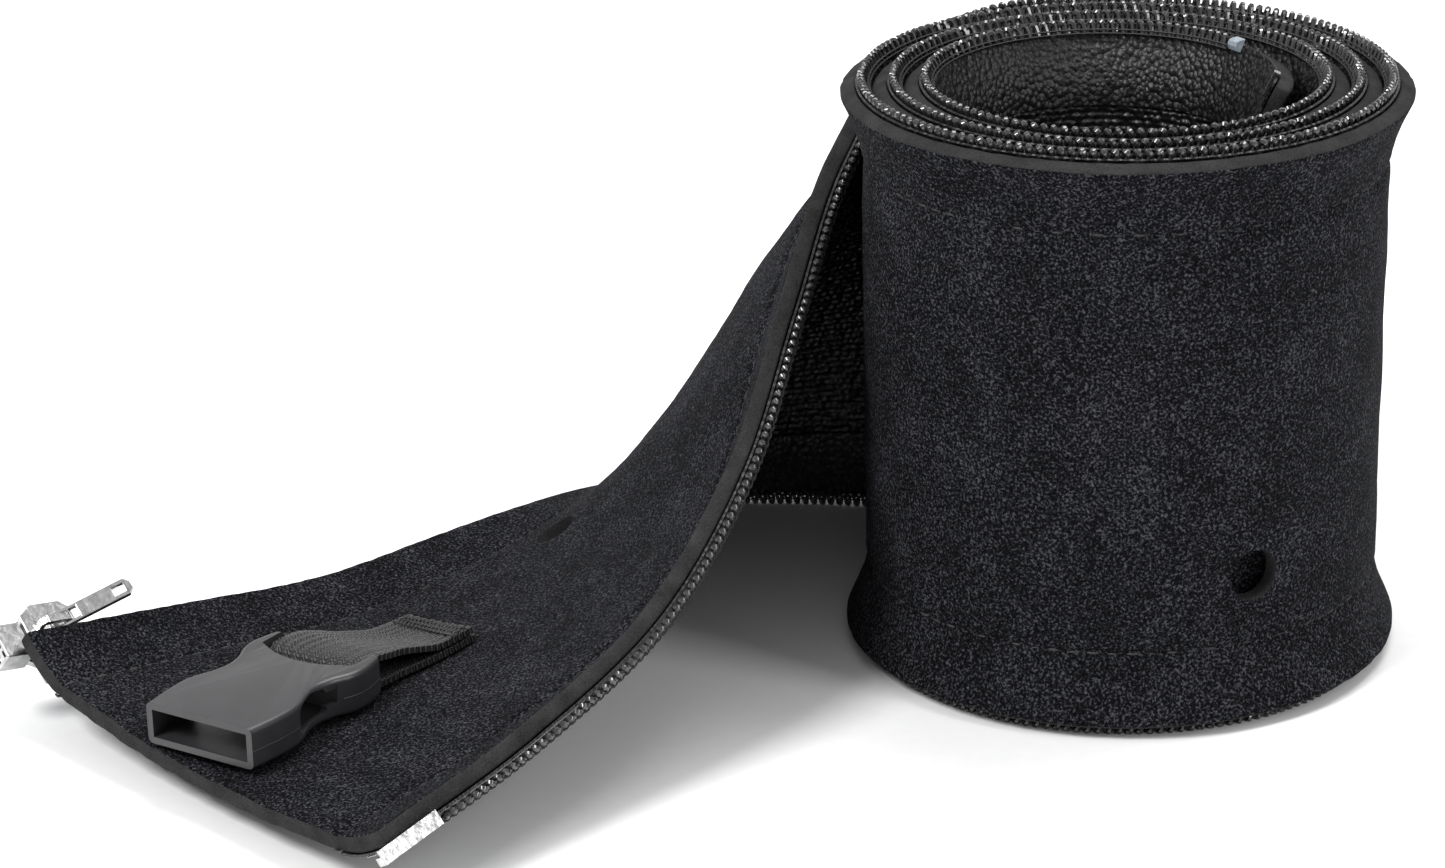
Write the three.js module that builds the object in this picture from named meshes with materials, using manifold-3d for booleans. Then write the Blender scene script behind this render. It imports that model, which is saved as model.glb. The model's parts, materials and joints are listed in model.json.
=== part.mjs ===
// Zippered cable sleeve: a padded strip with a zipper half along each long edge, rolled up on
// edge, its free tail laid out flat, and a buckle socket on a webbing loop near the tail's end.
// Millimetres, +Z up. The roll's axis is upright and the strip's width runs up it.

import * as THREE from 'three';
import { mergeVertices } from 'three/addons/utils/BufferGeometryUtils.js';
import Module from 'manifold-3d';

const wasm = await Module();
wasm.setup();

// Driving dimensions.

const SLEEVE = { halfWidth: 50, thick: 3, stitchInset: 12.5, kneeInset: 6, kneeRise: 1.4, flare: 4 };
const GAP = { sewn: 0.15, turn: 0.3, slide: 0.3, seat: 0.3 };
const TAPE = { thick: 0.4, proud: 0.2 };
const COIL = { width: 2.8, thick: 1.5, proud: 1, innerInset: 27, tailInset: 10.4 };
const ROLL = {
  radius: 46.75, centre: new THREE.Vector2(-1, -0.3), midHeight: 50,
  stations: 98, stationDegrees: 12, leaveDegrees: 90, endCurl: 4.5, curlDegrees: 186,
};
const HOLES = { diameter: 9, fromFoot: 25, firstFromTail: 106, spacing: 245, count: 4 };

// The tail's three rails, one point each 33 mm: the far edge, the middle and the near edge.
const TAIL = { length: 233, stations: 26, railHalf: 50 };
const FAR_RAIL = rail([
  [-1, 46.5, 0], [-34.5, 49.5, 0.7], [-67, 51, 0.4], [-97, 45.5, -0.7],
  [-123.5, 24, -1.2], [-146.5, -1, -0.7], [-167.75, -26.5, 5], [-189, -52, 11],
]);
const MIDDLE_RAIL = rail([
  [-1, 46.5, 50], [-33.5, 51.5, 50.5], [-64, 40.5, 47.5], [-80, 15.5, 33],
  [-90.5, -9, 15.5], [-108.5, -34, 6.5], [-130, -59, 4.5], [-151.5, -84, 4.5],
]);
const NEAR_RAIL = rail([
  [-1, 46.5, 100], [-32, 35.5, 97], [-47, 9, 81.5], [-54.5, -16, 62],
  [-61.5, -40, 41.5], [-74, -64.5, 24.5], [-92.5, -90, 14], [-112.5, -116, 7.5],
]);

const PIN = { overhang: 2.4, wall: 0.4, width: 2.2 };
const SLIDER = {
  length: 11, plate: 1.1, flange: 0.85, postLength: 3.5, postHalf: 0.6, flangeGap: 0.4,
  bridgeLength: 7, bridgeHeight: 2.8, bridgeWidth: 1.6, bridgeBar: 0.9, travel: 12,
};
const TAB = {
  length: 15, width: 3.4, thick: 1, eyeLength: 4.6, rail: 0.6, slotLength: 2.4, slotWidth: 1.8,
  restDegrees: 35,
};
const BOX = { length: 5.6, overhang: 3, wall: 0.7, thick: 4.4, slotReach: 1.7 };
const STOP = { length: 2.4, reach: 1.2, thick: 1.7 };
const CLIP = { width: 1.4, reach: 4, wall: 0.5, fromEnd: 4 };
const FILM = { length: 19, width: 6, thick: 0.15 };

const STRAP = { halfWidth: 9.6, thick: 1.3, length: 30.5, sewnLength: 9, farOffset: 8.2, fromTail: 34.3 };
const TACK = { length: 2.2, halfWidth: 9, thick: 0.5, inset: 2.5 };
const BUCKLE = {
  yawDegrees: 13.6, height: 7.4, bar: 1.6, barInset: 2.4, length: 35,
  rearHalf: 11.4, shoulderHalf: 12.3, waistHalf: 9.7, mouthHalf: 11.2, shoulder: 6, waist: 15.5,
  hip: 23.5, hipHalf: 12, bevel: 1.1, wall: 1.2, pocketLength: 7.4, pocketBow: 1.6, bridgeWall: 2.2,
  windowFrom: 11.5, windowTo: 23, windowLow: 1.3, windowHigh: 5.9, notch: 2.2, pip: 0.7,
};

const COLOUR = {
  plush: { color: 0x2b2b30, roughness: 0.95, metalness: 0 },
  tape: { color: 0x141416, roughness: 0.85, metalness: 0 },
  coil: { color: 0x0c0c0e, roughness: 0.25, metalness: 0 },
  nickel: { color: 0xc9cbd0, roughness: 0.25, metalness: 1 },
  clear: { color: 0xa9bccb, roughness: 0.2, metalness: 0 },
  webbing: { color: 0x1b1b1c, roughness: 0.8, metalness: 0 },
  plastic: { color: 0x4a484b, roughness: 0.45, metalness: 0 },
};

// Derived levels, measured along the strip's outward normal from its middle surface.

const INNER_FACE = -SLEEVE.thick / 2;
const TAPE_MID = INNER_FACE - GAP.sewn - TAPE.thick / 2;
const COIL_TOP = -TAPE.thick / 2 - GAP.sewn;
const COIL_FOOT = COIL_TOP - COIL.thick;
const PITCH = SLEEVE.thick + GAP.sewn * 2 + TAPE.thick + COIL.thick + GAP.turn;
const PIN_TOP = -COIL_TOP + PIN.wall;
const CHANNEL_TOP = PIN_TOP + GAP.slide;
const CHANNEL_FOOT = COIL_FOOT - GAP.slide;
const SLIDER_TOP = CHANNEL_TOP + SLIDER.plate;
const TAPE_DROP = SLIDER_TOP + GAP.slide + 0.35 - (INNER_FACE - TAPE_MID);
const COIL_END = TAIL.length - COIL.tailInset;

// The strip's middle surface.

function rail(points) {
  return points.map((p) => new THREE.Vector3(...p));
}

const growth = PITCH / (2 * Math.PI);
const LEAVING = new THREE.Vector3(-1, growth / ROLL.radius, 0).normalize();

function railPoint(knots, run) {
  const spacing = TAIL.length / (knots.length - 1);
  const last = knots.length - 1;
  const i = Math.min(Math.max(Math.floor(run / spacing), 0), last - 1);
  const t = run / spacing - i;
  const tangent = (k) => {
    if (k === 0) return LEAVING.clone().multiplyScalar(spacing);
    if (k === last) return knots[last].clone().sub(knots[last - 1]);
    return knots[k + 1].clone().sub(knots[k - 1]).multiplyScalar(0.5);
  };
  if (t > 1) return knots[last].clone().addScaledVector(tangent(last), t - 1);
  const t2 = t * t, t3 = t2 * t;
  return knots[i].clone().multiplyScalar(2 * t3 - 3 * t2 + 1)
    .addScaledVector(tangent(i), t3 - 2 * t2 + t)
    .addScaledVector(knots[i + 1], 3 * t2 - 2 * t3)
    .addScaledVector(tangent(i + 1), t3 - t2);
}

// Run is the length along the strip: negative inside the roll, zero where the tail leaves it.
function runOfAngle(angle) {
  return -(ROLL.radius * angle - growth * angle * angle / 2);
}

function rollPoint(run, across) {
  const angle = (ROLL.radius - Math.sqrt(ROLL.radius ** 2 + 2 * growth * run)) / growth;
  const total = THREE.MathUtils.degToRad(ROLL.stations * ROLL.stationDegrees);
  const curl = THREE.MathUtils.degToRad(ROLL.curlDegrees);
  const inward = Math.max(angle - (total - curl), 0) / curl;
  const radius = ROLL.radius - growth * angle - ROLL.endCurl * inward * inward;
  const azimuth = THREE.MathUtils.degToRad(ROLL.leaveDegrees) - angle;
  return new THREE.Vector3(
    ROLL.centre.x + radius * Math.cos(azimuth),
    ROLL.centre.y + radius * Math.sin(azimuth),
    ROLL.midHeight + across,
  );
}

function tailPoint(run, across) {
  const q = across / TAIL.railHalf;
  return railPoint(FAR_RAIL, run).multiplyScalar(q * (q - 1) / 2)
    .addScaledVector(railPoint(MIDDLE_RAIL, run), 1 - q * q)
    .addScaledVector(railPoint(NEAR_RAIL, run), q * (q + 1) / 2);
}

function middle(run, across) {
  return run < 0 ? rollPoint(run, across) : tailPoint(run, across);
}

function outward(run, across) {
  const e = 0.05;
  const along = middle(run + e, across).sub(middle(run - e, across));
  const width = middle(run, across + e).sub(middle(run, across - e));
  return along.cross(width).normalize();
}

function place(run, across, height) {
  return middle(run, across).addScaledVector(outward(run, across), height);
}

// Each long edge flares outward past its stitch line, in two slopes. A spot on the flare is given
// from the stitch line (0), the knee (1) or the rim (2), past it by `past`, `lift` off the surface.
const FLARE = [
  [SLEEVE.halfWidth - SLEEVE.stitchInset, 0],
  [SLEEVE.halfWidth - SLEEVE.kneeInset, SLEEVE.kneeRise],
  [SLEEVE.halfWidth, SLEEVE.flare],
];
const SLOPES = [0, 1].map((k) => Math.atan2(
  FLARE[k + 1][1] - FLARE[k][1], FLARE[k + 1][0] - FLARE[k][0]));
const TILTS = [SLOPES[0] / 2, (SLOPES[0] + SLOPES[1]) / 2, SLOPES[1]];

function edgeSpot(side, knot, past, lift) {
  const [u, rise] = FLARE[knot];
  const tilt = TILTS[knot];
  return [
    side * (u + past * Math.cos(tilt) - lift * Math.sin(tilt)),
    rise + past * Math.sin(tilt) + lift * Math.cos(tilt),
  ];
}

// Building helpers.

function smooth(x) {
  const t = Math.min(Math.max(x, 0), 1);
  return t * t * (3 - 2 * t);
}

function runsBetween(from, to) {
  const runs = [];
  for (let k = ROLL.stations; k > 0; k--) {
    runs.push(runOfAngle(THREE.MathUtils.degToRad(k * ROLL.stationDegrees)));
  }
  for (let k = 0; k <= TAIL.stations; k++) runs.push(TAIL.length * k / TAIL.stations);
  const least = 0.8;
  return [from, ...runs.filter((r) => r > from + least && r < to - least), to];
}

// Joins equal rings of points into a closed solid. Every four-sided patch is split along the same
// diagonal, so layers that lie on each other stay apart. A cap joins each point to its opposite.
function loft(rings, outline) {
  const n = rings[0].length;
  const index = [];
  for (let r = 0; r + 1 < rings.length; r++) {
    for (let k = 0; k < n; k++) {
      const a = r * n + k, b = r * n + (k + 1) % n;
      const ascending = outline[k][0] <= outline[(k + 1) % n][0];
      if (ascending) index.push(a, b, a + n, b, b + n, a + n);
      else index.push(a, b, b + n, a, b + n, a + n);
    }
  }
  const last = (rings.length - 1) * n;
  for (let k = 0; k + 1 < n / 2; k++) {
    const [next, facing, opposite] = [k + 1, n - 2 - k, n - 1 - k];
    index.push(next, k, facing, facing, k, opposite);
    index.push(last + k, last + next, last + facing, last + k, last + facing, last + opposite);
  }
  const geometry = new THREE.BufferGeometry();
  const positions = rings.flat().flatMap((p) => [p.x, p.y, p.z]);
  geometry.setAttribute('position', new THREE.Float32BufferAttribute(positions, 3));
  geometry.setIndex(index);
  return facingOut(geometry);
}

// Sweeps a closed (across, height) outline along the strip. The outline may change with the run.
function stripSolid(from, to, outlineAt) {
  const runs = runsBetween(from, to);
  const rings = runs.map((run) => outlineAt(run).map(([u, h]) => place(run, u, h)));
  return loft(rings, outlineAt(from));
}

function facingOut(geometry) {
  const p = geometry.getAttribute('position'), index = geometry.getIndex();
  const [a, b, c] = [new THREE.Vector3(), new THREE.Vector3(), new THREE.Vector3()];
  let volume = 0;
  for (let k = 0; k < index.count; k += 3) {
    a.fromBufferAttribute(p, index.getX(k));
    b.fromBufferAttribute(p, index.getX(k + 1));
    c.fromBufferAttribute(p, index.getX(k + 2));
    volume += a.dot(b.cross(c));
  }
  if (volume < 0) {
    for (let k = 0; k < index.count; k += 3) {
      const second = index.getX(k + 1);
      index.setX(k + 1, index.getX(k + 2));
      index.setX(k + 2, second);
    }
  }
  return geometry;
}

function toManifold(geometry) {
  const bare = new THREE.BufferGeometry();
  bare.setAttribute('position', geometry.getAttribute('position').clone());
  if (geometry.getIndex()) bare.setIndex(geometry.getIndex().clone());
  const merged = mergeVertices(bare, 1e-4);
  return new wasm.Manifold(new wasm.Mesh({
    numProp: 3,
    vertProperties: new Float32Array(merged.getAttribute('position').array),
    triVerts: new Uint32Array(merged.getIndex().array),
  }));
}

function toGeometry(solid) {
  const mesh = solid.getMesh();
  const geometry = new THREE.BufferGeometry();
  geometry.setAttribute('position', new THREE.Float32BufferAttribute(mesh.vertProperties, 3));
  geometry.setIndex(Array.from(mesh.triVerts));
  return geometry;
}

function block(x0, x1, y0, y1, z0, z1) {
  const box = new THREE.BoxGeometry(x1 - x0, y1 - y0, z1 - z0);
  return toManifold(box.translate((x0 + x1) / 2, (y0 + y1) / 2, (z0 + z1) / 2));
}

function rod(radius, length, sides) {
  return toManifold(new THREE.CylinderGeometry(radius, radius, length, sides));
}

function joined(pieces) {
  return pieces.reduce((all, piece) => all.add(piece));
}

// A rigid frame on the strip: x along it towards the tail's end, y across, z off its outer face.
function frameOn(origin, ahead, sideways) {
  const x = ahead.clone().normalize();
  const z = x.clone().cross(sideways).normalize();
  return new THREE.Matrix4().makeBasis(x, z.clone().cross(x), z).setPosition(origin);
}

function piece(name, geometry, look) {
  geometry.computeVertexNormals();
  const mesh = new THREE.Mesh(geometry, new THREE.MeshStandardMaterial({ ...look, flatShading: true }));
  mesh.name = name;
  return mesh;
}

// The strip and what is sewn along it.

const INNER_END = runOfAngle(THREE.MathUtils.degToRad(ROLL.stations * ROLL.stationDegrees));
const FAR = -1, NEAR = 1;

function sleeve() {
  const half = SLEEVE.thick / 2;
  const stitch = FLARE[0][0];
  const face = (height) => [
    edgeSpot(FAR, 2, 0, height), edgeSpot(FAR, 1, 0, height), edgeSpot(FAR, 0, 0, height),
    [-stitch / 2, height], [0, height], [stitch / 2, height],
    edgeSpot(NEAR, 0, 0, height), edgeSpot(NEAR, 1, 0, height), edgeSpot(NEAR, 2, 0, height),
  ];
  const outline = [...face(half), ...face(-half).reverse()];
  let solid = toManifold(stripSolid(INNER_END, TAIL.length, () => outline));
  for (let k = 0; k < HOLES.count; k++) {
    const run = TAIL.length - HOLES.firstFromTail - k * HOLES.spacing;
    const across = HOLES.fromFoot - SLEEVE.halfWidth;
    const punch = new THREE.CylinderGeometry(
      HOLES.diameter / 2, HOLES.diameter / 2, SLEEVE.thick + PITCH * 0.3, 16);
    const axis = outward(run, across);
    punch.applyQuaternion(new THREE.Quaternion().setFromUnitVectors(new THREE.Vector3(0, 1, 0), axis));
    punch.translate(...middle(run, across).toArray());
    solid = solid.subtract(toManifold(punch));
  }
  return toGeometry(solid);
}

// Near the tail's end the bottom tape hangs lower under the sleeve's edge, to clear the slider.
function dropAt(side, run) {
  if (side === NEAR) return 0;
  const full = SLIDER.travel + SLIDER.length + 8;
  return TAPE_DROP * smooth((run - (TAIL.length - full - 36)) / 36);
}

// A closed outline on the tape, as points [past the rim, height over the tape's middle].
function onTape(side, points) {
  return (run) => points.map(([past, height]) =>
    edgeSpot(side, 2, past, TAPE_MID - dropAt(side, run) + height));
}

// The top tape ends with the sleeve. The bottom tape and its film end at the retainer box.
function tapeEnd(side) {
  return side === NEAR ? TAIL.length : TAIL.length + BOX.overhang - BOX.length - GAP.seat;
}

function tape(side) {
  const half = TAPE.thick / 2;
  return stripSolid(INNER_END, tapeEnd(side), (run) => {
    const drop = dropAt(side, run);
    const face = (height) => [
      edgeSpot(side, 0, 0, TAPE_MID + height), edgeSpot(side, 1, 0, TAPE_MID - drop + height),
      edgeSpot(side, 2, TAPE.proud, TAPE_MID - drop + height),
    ];
    return [...face(half), ...face(-half).reverse()];
  });
}

// The coil's section. Its outer side is level where the roll stands on it, under the tilted flare.
const COIL_ROUND = COIL.thick * 0.47;
const COIL_LEVEL = COIL.proud + (COIL.thick - COIL_ROUND) * Math.tan(TILTS[2]);
const CENTRE_PAST = COIL_LEVEL + SLIDER.postHalf + GAP.slide;

function coil(side) {
  const outer = COIL.proud, inner = COIL.proud - COIL.width;
  return stripSolid(INNER_END + COIL.innerInset, COIL_END, onTape(side, [
    [inner, COIL_TOP], [COIL_LEVEL, COIL_TOP], [outer, COIL_FOOT + COIL_ROUND],
    [outer - COIL_ROUND, COIL_FOOT], [inner + COIL_ROUND, COIL_FOOT], [inner, COIL_FOOT + COIL_ROUND],
  ]));
}

// A pin clamped round the tape's edge, in the coil's place.
function pin(side, to) {
  const outer = COIL.proud, back = COIL.proud - PIN.width;
  const seat = TAPE.proud + GAP.sewn, hook = GAP.seat;
  return stripSolid(COIL_END + GAP.seat, to, onTape(side, [
    [hook, PIN_TOP], [outer, PIN_TOP], [outer, COIL_FOOT], [back, COIL_FOOT],
    [back, COIL_TOP], [seat, COIL_TOP], [seat, -COIL_TOP], [hook, -COIL_TOP],
  ]));
}

function endStop(side) {
  const to = INNER_END + COIL.innerInset - GAP.seat;
  const outer = COIL.proud, foot = COIL_TOP - STOP.thick;
  return stripSolid(to - STOP.length, to, onTape(side, [
    [-STOP.reach, COIL_TOP], [COIL_LEVEL, COIL_TOP], [outer, COIL_FOOT + COIL_ROUND],
    [outer - COIL_ROUND, foot], [COIL_ROUND - STOP.reach, foot], [-STOP.reach, foot + COIL_ROUND],
  ]));
}

function endClip() {
  const from = INNER_END + CLIP.fromEnd;
  const seat = TAPE.proud + GAP.sewn;
  return stripSolid(from, from + CLIP.width, onTape(NEAR, [
    [-CLIP.reach, COIL_TOP], [seat, COIL_TOP], [seat, -COIL_TOP], [seat + CLIP.wall, -COIL_TOP],
    [seat + CLIP.wall, COIL_TOP - CLIP.wall], [-CLIP.reach, COIL_TOP - CLIP.wall],
  ]));
}

function film(side) {
  const near = COIL.proud - COIL.width - GAP.seat, far = near - FILM.width;
  return stripSolid(tapeEnd(side) - FILM.length, tapeEnd(side), (run) => {
    const height = TAPE_MID - dropAt(side, run) + COIL_TOP;
    const spots = [[near, height], [far + 0.6, height], [far + 0.6, height - FILM.thick],
      [near, height - FILM.thick]];
    return spots.map(([past, h]) => edgeSpot(side, 2, past, h));
  });
}

// Slider, pull tab and retainer box, in the slider's own frame on the bottom tape.

function tapeSpot(run, past) {
  const [u, h] = edgeSpot(FAR, 2, past, TAPE_MID - dropAt(FAR, run));
  return place(run, u, h);
}

const SLIDER_REST = TAIL.length + BOX.overhang - BOX.length - GAP.seat - SLIDER.length / 2;
const sliderFrame = frameOn(
  tapeSpot(SLIDER_REST, CENTRE_PAST),
  tapeSpot(TAIL.length, CENTRE_PAST).sub(tapeSpot(TAIL.length - SLIDER.travel - SLIDER.length, CENTRE_PAST)),
  tapeSpot(SLIDER_REST, 0).sub(tapeSpot(SLIDER_REST, CENTRE_PAST)),
);
const HALF_SLIDER = CENTRE_PAST - COIL.proud + COIL.width + GAP.slide + SLIDER.flange;
const HINGE_Z = SLIDER_TOP + TAB.thick * Math.SQRT1_2 + GAP.slide / 2;

function sliderBody() {
  const h = SLIDER.length / 2, w = HALF_SLIDER;
  const inner = w - SLIDER.flange;
  const flangeTop = COIL_TOP - FILM.thick - SLIDER.flangeGap;
  const outline = new THREE.Shape([
    [-h + 1.5, -w], [h - 3, -w], [h, -w + 2], [h, w - 2], [h - 3, w], [-h + 1.5, w], [-h, w - 1.5],
    [-h, -w + 1.5]].map((p) => new THREE.Vector2(...p)));
  const foot = CHANNEL_FOOT - SLIDER.plate;
  const full = new THREE.ExtrudeGeometry(outline, { depth: SLIDER_TOP - foot, bevelEnabled: false });
  const shell = toManifold(full.translate(0, 0, foot))
    .subtract(block(-h - 1, h + 1, -inner, inner, CHANNEL_FOOT, CHANNEL_TOP))
    .subtract(block(-h - 1, h + 1, -w - 1, w + 1, flangeTop, CHANNEL_TOP));
  const post = block(-h, -h + SLIDER.postLength, -SLIDER.postHalf, SLIDER.postHalf,
    CHANNEL_FOOT - 0.3, CHANNEL_TOP + 0.3);
  const half = SLIDER.bridgeLength / 2, bar = SLIDER.bridgeBar, rise = SLIDER.bridgeHeight;
  const arch = new THREE.Shape([
    [-half, -0.3], [-half, rise - 1], [-half + 1, rise], [half - 1, rise], [half, rise - 1],
    [half, -0.3], [half - bar, -0.3], [half - bar, rise - bar], [-half + bar, rise - bar],
    [-half + bar, -0.3]].map((p) => new THREE.Vector2(...p)));
  const bridge = new THREE.ExtrudeGeometry(arch, { depth: SLIDER.bridgeWidth, bevelEnabled: false });
  bridge.rotateX(Math.PI / 2).translate(0, SLIDER.bridgeWidth / 2, SLIDER_TOP);
  return toGeometry(joined([shell, post, toManifold(bridge)]));
}

function pullTab() {
  const half = TAB.width / 2, nib = TAB.thick / 2, tip = TAB.length;
  const plate = new THREE.Shape([
    [-nib, -half], [tip - 1, -half], [tip, -half + 1], [tip, half - 1], [tip - 1, half],
    [-nib, half]].map((p) => new THREE.Vector2(...p)));
  const opening = (x0, x1, y) => {
    const hole = new THREE.Path();
    hole.setFromPoints([[x0, -y], [x0, y], [x1, y], [x1, -y]].map((p) => new THREE.Vector2(...p)));
    plate.holes.push(hole);
  };
  opening(nib, TAB.eyeLength, half - TAB.rail);
  opening(tip - 1.2 - TAB.slotLength, tip - 1.2, TAB.slotWidth / 2);
  const geometry = new THREE.ExtrudeGeometry(plate, { depth: TAB.thick, bevelEnabled: false });
  geometry.translate(0, 0, -TAB.thick / 2);
  const rise = THREE.MathUtils.degToRad(180 + TAB.restDegrees);
  return geometry.rotateY(rise).translate(0, 0, HINGE_Z);
}

function retainerBox() {
  const from = SLIDER.length / 2 + GAP.seat;
  const far = CENTRE_PAST - COIL.proud + PIN.width + GAP.seat;
  const middleZ = (PIN_TOP + COIL_FOOT) / 2;
  const body = block(from, from + BOX.length, -BOX.slotReach - BOX.wall, far + BOX.wall,
    middleZ - BOX.thick / 2, middleZ + BOX.thick / 2);
  const slot = block(from - 1, from + BOX.length + 1, -BOX.slotReach, far,
    COIL_FOOT - GAP.seat, PIN_TOP + GAP.seat);
  return toGeometry(body.subtract(slot));
}

// Webbing loop and buckle socket, in the buckle's frame: x to the mouth, z off the sleeve.

const BAR_RUN = TAIL.length - STRAP.fromTail;
const yaw = THREE.MathUtils.degToRad(BUCKLE.yawDegrees);

// Plan spot (x, y) of the buckle's frame as a run and an across value on the strip.
function planSpot(x, y) {
  return [
    BAR_RUN + x * Math.cos(yaw) - y * Math.sin(yaw),
    -STRAP.farOffset + x * Math.sin(yaw) + y * Math.cos(yaw),
  ];
}

// A spot over the sleeve's outer face, which is flat between its stations and its across lines.
function outerSpot(x, y, height) {
  const [run, across] = planSpot(x, y);
  const cell = (value, size) => [Math.floor(value / size) * size, value / size - Math.floor(value / size)];
  const stationLength = TAIL.length / TAIL.stations, lineWidth = FLARE[0][0] / 2;
  const [r, f] = cell(run, stationLength), [u, g] = cell(across, lineWidth);
  const corner = (i, j) => place(r + i * stationLength, u + j * lineWidth, SLEEVE.thick / 2);
  const [a, b, far] = f + g <= 1 ? [f, g, corner(0, 0)] : [1 - f, 1 - g, corner(1, 1)];
  const [alongSide, widthSide] = f + g <= 1 ? [corner(1, 0), corner(0, 1)] : [corner(0, 1), corner(1, 0)];
  return far.clone().addScaledVector(alongSide.sub(far), a).addScaledVector(widthSide.sub(far), b)
    .addScaledVector(outward(run, across), height);
}

const flatFrame = frameOn(outerSpot(0, 0, 0),
  outerSpot(BUCKLE.length - 5, 0, 0).sub(outerSpot(0, 0, 0)),
  outerSpot(12, 8, 0).sub(outerSpot(12, -8, 0)));
const toFlat = flatFrame.clone().invert();

// The buckle lies on the highest spots of the sleeve beneath it.
function restLift() {
  const beyond = 4, step = 1;
  const rear = -BUCKLE.barInset, mouth = rear + BUCKLE.length, side = BUCKLE.shoulderHalf;
  let most = 0;
  for (let x = rear - beyond; x <= mouth + beyond; x += step) {
    for (let y = -side - beyond; y <= side + beyond; y += step) {
      const spot = outerSpot(x, y, 0).applyMatrix4(toFlat);
      const beneath = spot.x > rear && spot.x < mouth && Math.abs(spot.y) < side;
      if (beneath && planSpot(x, y)[0] < TAIL.length) most = Math.max(most, spot.z);
    }
  }
  return most + GAP.seat;
}
const LIFT = restLift();
const buckleFrame = flatFrame.clone().multiply(new THREE.Matrix4().makeTranslation(0, 0, LIFT));
const BAR_Z = BUCKLE.height / 2;

function strapLines(halfWidth) {
  return [-halfWidth, -STRAP.halfWidth / 2, 0, STRAP.halfWidth / 2, halfWidth];
}

function strapLoop() {
  const half = STRAP.thick / 2;
  const wrap = BUCKLE.bar + GAP.seat + half;
  const bar = BAR_Z + LIFT;
  const low = GAP.seat + half, high = low + STRAP.thick + GAP.sewn;
  const line = [[-STRAP.length, low], [-STRAP.length + STRAP.sewnLength, low],
    [-STRAP.length * 0.45, low + 0.2], [-5, bar - wrap - 0.25]];
  for (let k = -90; k <= 90; k += 22.5) {
    const a = THREE.MathUtils.degToRad(k);
    line.push([wrap * Math.cos(a), bar + wrap * Math.sin(a)]);
  }
  const tackFrom = -STRAP.length + TACK.inset;
  line.push([-5, bar + wrap - 0.5], [-STRAP.length * 0.45, high + 2.2],
    [-STRAP.length + STRAP.sewnLength, high], [tackFrom + TACK.length, high], [tackFrom, high],
    [-STRAP.length, high]);
  const side = (sign) => line.map(([d, h], k) => {
    const [a, b] = [line[Math.max(k - 1, 0)], line[Math.min(k + 1, line.length - 1)]];
    const length = Math.hypot(b[0] - a[0], b[1] - a[1]);
    return [d - sign * half * (b[1] - a[1]) / length, h + sign * half * (b[0] - a[0]) / length];
  });
  const outline = [...side(1), ...side(-1).reverse()];
  const spot = ([d, h], v) => {
    // The webbing bends in its own plane, from the strip's heading to the buckle's.
    const back = Math.max(-d, 0);
    const turn = yaw * Math.min(back / STRAP.length, 1);
    const x = d < 0 ? d * Math.cos(turn / 2) + v * Math.sin(turn) : d;
    const y = d < 0 ? -d * Math.sin(turn / 2) + v * Math.cos(turn) : v;
    const flat = new THREE.Vector3(x, y, h).applyMatrix4(flatFrame);
    const hugging = outerSpot(x, y, h);
    return flat.lerp(hugging, smooth((back - 4) / 10));
  };
  const rings = strapLines(STRAP.halfWidth).map((v) => outline.map((p) => spot(p, v)));
  return { geometry: loft(rings, outline), spot, high, tackFrom };
}

const strap = strapLoop();

function barTack() {
  const low = strap.high + STRAP.thick / 2 + GAP.sewn;
  const d0 = strap.tackFrom, d1 = d0 + TACK.length;
  const outline = [[d0, low], [d1, low], [d1 - 0.4, low + TACK.thick], [d0 + 0.4, low + TACK.thick]];
  const rings = strapLines(TACK.halfWidth).map((v) => outline.map((p) => strap.spot(p, v)));
  return loft(rings, outline);
}

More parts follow.
